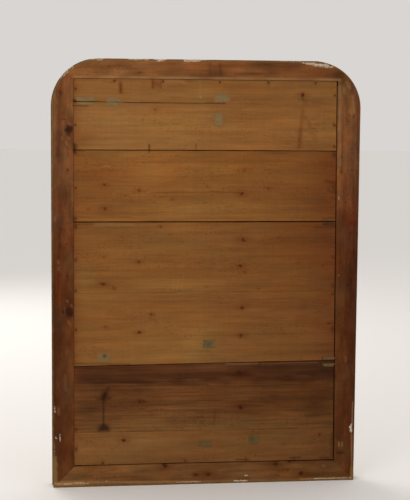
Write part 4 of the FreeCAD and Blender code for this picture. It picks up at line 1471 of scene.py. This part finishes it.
def gilt_finish():
    """Gold leaf over red bole and gesso, rubbed where the section stands proud."""
    gilt = Finish("gold_over_bole")
    rub, hollow, ochre = gilt.parts(gilt.attribute("wear"))
    leaf = gilt.noise(gilt.place(), scale=34, detail=5, roughness=0.6)
    scratches = gilt.noise(gilt.place(), scale=260, detail=3, roughness=0.7)
    tarnish = gilt.span(gilt.noise(gilt.place(), scale=9, detail=3), 0.35, 0.65)
    rubbed = gilt.plus(gilt.times(rub, 0.22), gilt.times(leaf, 0.9), gilt.times(scratches, 0.25))
    bole, bare = gilt.span(rubbed, 0.75, 0.85), gilt.span(rubbed, 0.93, 0.99)
    colour = gilt.mix(bole, gilt.mix(tarnish, gold_bright, gold_dull), bole_red)
    colour = gilt.mix(bare, colour, bare_gesso)
    dirt = gilt.times(gilt.span(gilt.plus(hollow, gilt.times(leaf, 0.5)), 0.45, 0.95), 0.75)
    colour = gilt.mix(dirt, colour, hollow_dirt)
    wash = gilt.mix(gilt.span(leaf, 0.4, 0.62), wash_light, wash_dark)
    colour = gilt.mix(ochre, colour, gilt.scaled(wash, gilt.span(scratches, 0.3, 0.7, 0.7, 1.15)))
    chip = gilt.plus(gilt.attribute("chip", "Fac"), gilt.span(scratches, 0.3, 0.7, -0.3, 0.3))
    colour = gilt.mix(gilt.span(chip, 0.3, 0.7), colour, chip_white)
    covered = gilt.most(bole, bare, dirt, ochre)
    gilt.give(Base_Color=colour, Metallic=gilt.span(covered, 0, 1, 0.9, 0.0))
    gilt.give(Roughness=gilt.span(gilt.most(covered, scratches), 0.3, 1.0, 0.3, 0.75))
    relief = gilt.math("SUBTRACT", gilt.times(leaf, 0.6), gilt.plus(bole, bare))
    gilt.bump(gilt.plus(relief, gilt.times(scratches, 0.4)), 0.3 * MM, 0.6)
    return gilt.material


gilt_leaf = gilt_finish()
print("finish:", gilt_leaf.name)

# %% Draw the section
edge_roll, crest_flat, crest_step = 7 * MM, 5 * MM, 3 * MM
ogee_foot, astragal_radius = 9 * MM, 3 * MM
frieze_width, frieze_height = 8 * MM, 8 * MM
moulding_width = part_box("left_moulding")[1].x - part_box("left_moulding")[0].x - lip


def arc_points(centre, radius, first, last, count):
    """Points of an arc about a centre, by angles in degrees."""
    turns = np.radians(np.linspace(first, last, count))
    return [(centre[0] + radius * math.cos(t), centre[1] + radius * math.sin(t)) for t in turns]


def straight(first, last, count):
    """Points from first towards last, all but the last."""
    return [tuple(np.array(first) + (np.array(last) - np.array(first)) * i / count) for i in range(count)]


def moulding_section():
    """(inward, forward) points: edge roll, crest, ogee, astragal and frieze."""
    crest_start = edge_roll - lip
    crest_end = crest_start + crest_flat
    frieze_start = moulding_width - frieze_width
    middle = frieze_start - astragal_radius
    ogee_end = middle - astragal_radius
    top = moulding_height
    shares = np.linspace(0, 1, 30)[1:-1]
    fall = (1 - np.cos(np.pi * shares)) / 2
    ogee = [(crest_end + s * (ogee_end - crest_end), top - crest_step + f * (ogee_foot - top + crest_step))
            for s, f in zip(shares, fall)]
    return (straight((-lip, 0), (-lip, top - edge_roll), 4)
            + arc_points((crest_start, top - edge_roll), edge_roll, 180, 90, 9)
            + straight((crest_start + 1 * MM, top), (crest_end, top), 2)
            + [(crest_end, top), (crest_end, top - crest_step)] + ogee
            + arc_points((middle, ogee_foot), astragal_radius, 180, 0, 11)
            + [(frieze_start, frieze_height), (moulding_width, frieze_height), (moulding_width, 0)]
            + straight((moulding_width, 0), (-lip, 0), 6)[1:])


moulding_points = moulding_section()
print(len(moulding_points), "points in the moulding section")


# %% Tell where a section wears
def section_wear(section):
    """For each point of a section: how proud it stands, how hollow it lies, whether it is the ochre edge."""
    at = np.array(section)
    before, after = at - np.roll(at, 1, 0), np.roll(at, -1, 0) - at
    turn = np.arctan2(before[:, 0] * after[:, 1] - before[:, 1] * after[:, 0], (before * after).sum(1))
    spread = sum(np.roll(turn, k) for k in (-1, 0, 1)) / 3
    height = at[:, 1] / at[:, 1].max()
    proud = np.clip(-spread * 3, 0, 1) * (height > 0.2)
    hollow = np.clip(spread * 3, 0, 1) * (height > 0.05)
    ochre = ((at[:, 0] < 1.5 * MM) & (height < 0.8)) | (height < 0.02)
    return np.stack([np.maximum(proud, 0.5 * (height > 0.93)), hollow, ochre.astype(float)], 1)


proud_points = section_wear(moulding_points)[:, 0] > 0.3
print(proud_points.sum(), "points of the section stand proud, where gold is rubbed")

# %% Carry a section round the front
run_step = 6 * MM
turn_count = 41
chip_depth = 8 * MM
# Where the outer edge is chipped to the gesso: pixels of a chip's ends, half width in mm, strength
lip_chips = [
    (90, 58.4, 104, 58.2, 4, .6), (128, 58.6, 149, 58.6, 4, .6), (155, 58.8, 166, 59, 5, .8),
    (184, 59, 205, 59.2, 4, .65), (60, 78, 72, 66, 5, .6), (278, 61, 300, 61, 3, .4),
    (322, 62, 336, 66, 4, .5), (352, 400, 351, 476, 4, .55),
]


def run_stations(run, inward):
    """Where the point of a section that lies that far inward goes along one run: rows of x and z."""
    foot = max(inward, 0.0)
    side = -1 if "right" in run else 1
    if "corner" in run:
        turns = np.linspace(0, np.pi / 2, turn_count)
        reach = carcass_radius - inward
        return side * (arc_centre.x + reach * np.cos(turns)), arc_centre.z + reach * np.sin(turns)
    if run == "top":
        x = np.linspace(-arc_centre.x, arc_centre.x, int(2 * arc_centre.x / run_step))
        return x, np.full_like(x, carcass_top - inward)
    if run == "bottom":
        share = np.linspace(-1, 1, int(2 * half_width / run_step))
        return share * (half_width - foot), np.full_like(share, foot)
    z = foot + np.linspace(0, 1, int(arc_centre.z / run_step)) * (arc_centre.z - foot)
    return np.full_like(z, side * (half_width - inward)), z


def front_run(name, run, section):
    """One length of a section, as a smooth closed piece with its wear noted."""
    x, z = (np.stack(rows, 1) for rows in zip(*(run_stations(run, inward) for inward, _ in section)))
    y = np.tile([front_y - forward for _, forward in section], (len(x), 1))
    points, faces = loft(x, y, z)
    piece = mesh_piece(name, points, faces, gilt_leaf, smooth_angle=35)
    outside = points[:, 1] > front_y - chip_depth
    chips = stroke_cover(points[:, 0], points[:, 2], lip_chips, front_y) * outside
    note(piece.data, "wear", np.tile(section_wear(section), (len(x), 1)))
    note(piece.data, "chip", chips)
    return piece


front_runs = ("left", "right", "top", "bottom", "top_left_corner", "top_right_corner")
for run in front_runs:
    settle(front_run(f"gilt_{run}_moulding", run, moulding_points), "gilt_moulding", run + "_moulding")

# %% [markdown]
# ## Slip and pearls
# Inside the moulding a narrow slip carries a row of carved pearls, each a little narrower than its bed. They
# could be modelled one by one, but they repeat along a path, so Geometry Nodes set them: the path is
# resampled at the pitch, and one small pearl goes on each point.

# %% Carry the slip
slip_fillet, bed_width = 2.5 * MM, 11 * MM
slip_height, bed_height, sight_height = 10 * MM, 5.5 * MM, 7 * MM


def slip_section():
    """Outer fillet, the bed of the pearls and the rounded sight edge."""
    outer = moulding_width + slip_fillet
    inner = outer + bed_width
    radius = slip_fillet / 2
    return ([(moulding_width, 0), (moulding_width, slip_height), (outer, slip_height), (outer, bed_height)]
            + straight((outer, bed_height), (inner, bed_height), 4)[1:] + [(inner, bed_height)]
            + arc_points((inner + radius, sight_height - radius), radius, 180, 0, 9)
            + [(inner + slip_fillet, 0)] + straight((inner + slip_fillet, 0), (moulding_width, 0), 3)[1:])


slip_points = slip_section()
for run in front_runs:
    settle(front_run(f"gilt_{run}_slip", run, slip_points), "gilt_slip", run + "_slip")

# %% Pearl recipe
def pearl_recipe():
    """Small pearls at a pitch along a path."""
    recipe = Recipe("pearls", Pearl_size=9 * MM, Pitch=10 * MM)
    given = recipe.given
    path = recipe.node("GeometryNodeMeshToCurve", {"Mesh": given["Geometry"]}).outputs[0]
    pitch = {"Curve": path, "Length": given["Pitch"]}
    pitched = recipe.node("GeometryNodeResampleCurve", pitch, mode="LENGTH").outputs[0]
    ball = {"Segments": 10, "Rings": 6, "Radius": recipe.times(given["Pearl size"], 0.5)}
    pearl = recipe.node("GeometryNodeMeshUVSphere", ball).outputs["Mesh"]
    smooth = recipe.node("GeometryNodeSetShadeSmooth", {"Geometry": pearl}).outputs[0]
    recipe.set_out(pitched, smooth, (3.0, 3.0, 3.0), (0.94, 1.03))
    return recipe


pearl_run = pearl_recipe()
print("the pearl recipe has the inputs", *pearl_run.identifiers)

# %% String the pearls
pearl_size, pearl_pitch = 9 * MM, 10 * MM
pearl_inset = moulding_width + slip_fillet + bed_width / 2
pearl_y = front_y - bed_height - 0.36 * pearl_size

arch = []
for run, way in (("left", 1), ("top_left_corner", 1), ("top", -1), ("top_right_corner", -1), ("right", -1)):
    x, z = run_stations(run, pearl_inset)
    arch += [(px, pearl_y, pz) for px, pz in zip(x[::way].tolist(), z[::way].tolist())]
arch = [p for i, p in enumerate(arch) if i == 0 or math.dist(p, arch[i - 1]) > 1e-6]
foot_half = half_width - pearl_inset - pearl_pitch
foot_row = [(foot_half, pearl_y, pearl_inset), (-foot_half, pearl_y, pearl_inset)]
edges = [(i, i + 1) for i in range(len(arch) - 1)] + [(len(arch), len(arch) + 1)]
pearls = pearl_run.grow("slip_pearls", arch + foot_row, edges, Pearl_size=pearl_size, Pitch=pearl_pitch,
                        Seed=5, Finish=gilt_leaf)
forward = pearl_y - points_of(pearls.data)[:, 1]
proud = rise(forward, 0.0, 0.5 * pearl_size)
note(pearls.data, "wear", np.stack([proud, 1 - rise(forward, -2.5 * MM, 1.5 * MM), 0 * proud], 1))
settle(pearls, "gilt_slip")

# %% [markdown]
# ## Mirror plate and blocks
# The plate is old silvered glass: a little grey, foxed with brown spots towards its edges, and painted over
# behind. The blocks behind it are raw softwood. Both could be copied as the carcass is, but nothing on their
# shape needs changing, so they keep their packed nodes and only get finishes.

# %% Silvered glass
silver_pale, silver_dim, fox_brown = paint(226, 229, 226), paint(150, 148, 138), paint(58, 46, 36)
back_paint = paint(36, 16, 8), paint(56, 27, 14)
foxed_reach = 0.16


def mirror_finish(node):
    """Silvering that has gone dark in spots and along the edge of the plate, painted over behind."""
    low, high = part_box(node)
    silver = Finish("foxed_silvering")
    x, y, z = silver.parts(silver.place())
    from_side = silver.math("SUBTRACT", (high.x - low.x) / 2, silver.math("ABSOLUTE", x, 0.0))
    from_foot, from_top = silver.math("SUBTRACT", z, low.z), silver.math("SUBTRACT", high.z, z)
    inside = silver.math("MINIMUM", from_side, from_foot, from_top)
    cloud = silver.noise(silver.place(), scale=14, detail=5, roughness=0.62)
    fox = silver.noise(silver.place(), scale=120, detail=3, roughness=0.6)
    edge = silver.span(inside, 0.0, foxed_reach, 0.16, 0.0)
    spots = silver.span(silver.plus(fox, edge), 0.70, 0.76)
    bloom = silver.span(silver.plus(cloud, edge), 0.60, 0.80)
    colour = silver.mix(silver.times(bloom, 0.5), silver_pale, silver_dim)
    colour = silver.mix(silver.times(spots, 0.85), colour, fox_brown)
    painted = silver.span(y, low.y + 0.7 * (high.y - low.y), low.y + 0.9 * (high.y - low.y))
    colour = silver.mix(painted, colour, silver.mix(cloud, *back_paint))
    dull = silver.most(painted, silver.times(spots, 0.8))
    silver.give(Base_Color=colour, Metallic=silver.span(dull, 0, 1, 1.0, 0.0))
    roughness = silver.plus(silver.times(bloom, 0.10), silver.times(dull, 0.7))
    silver.give(Roughness=roughness, Specular_IOR_Level=0.1)
    silver.give(Coat_Weight=silver.span(painted, 0, 1, 0.6, 0.0), Coat_Roughness=0.02)
    return silver.material


silvering = mirror_finish("mirror_glass")
print("finish:", silvering.name)


# %% Raw blocks, and the finishes given
def block_finish():
    """Raw softwood, cut off the saw and browned by glue."""
    wood = Finish("raw_softwood")
    rings = wood.noise(wood.stretched(wood.place(), (90, 160, 12)), detail=3)
    fibres = wood.noise(wood.stretched(wood.place(), (900, 900, 60)))
    colour = wood.mix(wood.span(rings, 0.35, 0.65), paint(176, 128, 76), paint(142, 94, 50))
    wood.give(Base_Color=wood.scaled(colour, wood.span(fibres, 0.3, 0.7, 0.88, 1.1)))
    wood.give(Roughness=wood.span(fibres, 0.3, 0.7, 0.65, 0.85))
    wood.bump(fibres, 0.4 * MM, 0.7)
    return wood.material


for node, finish in (("mirror_glass", silvering), ("glass_blocks", block_finish())):
    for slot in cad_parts[node].material_slots:
        slot.material = finish
    print(node, "keeps its packed shape, with", finish.name)

# %% [markdown]
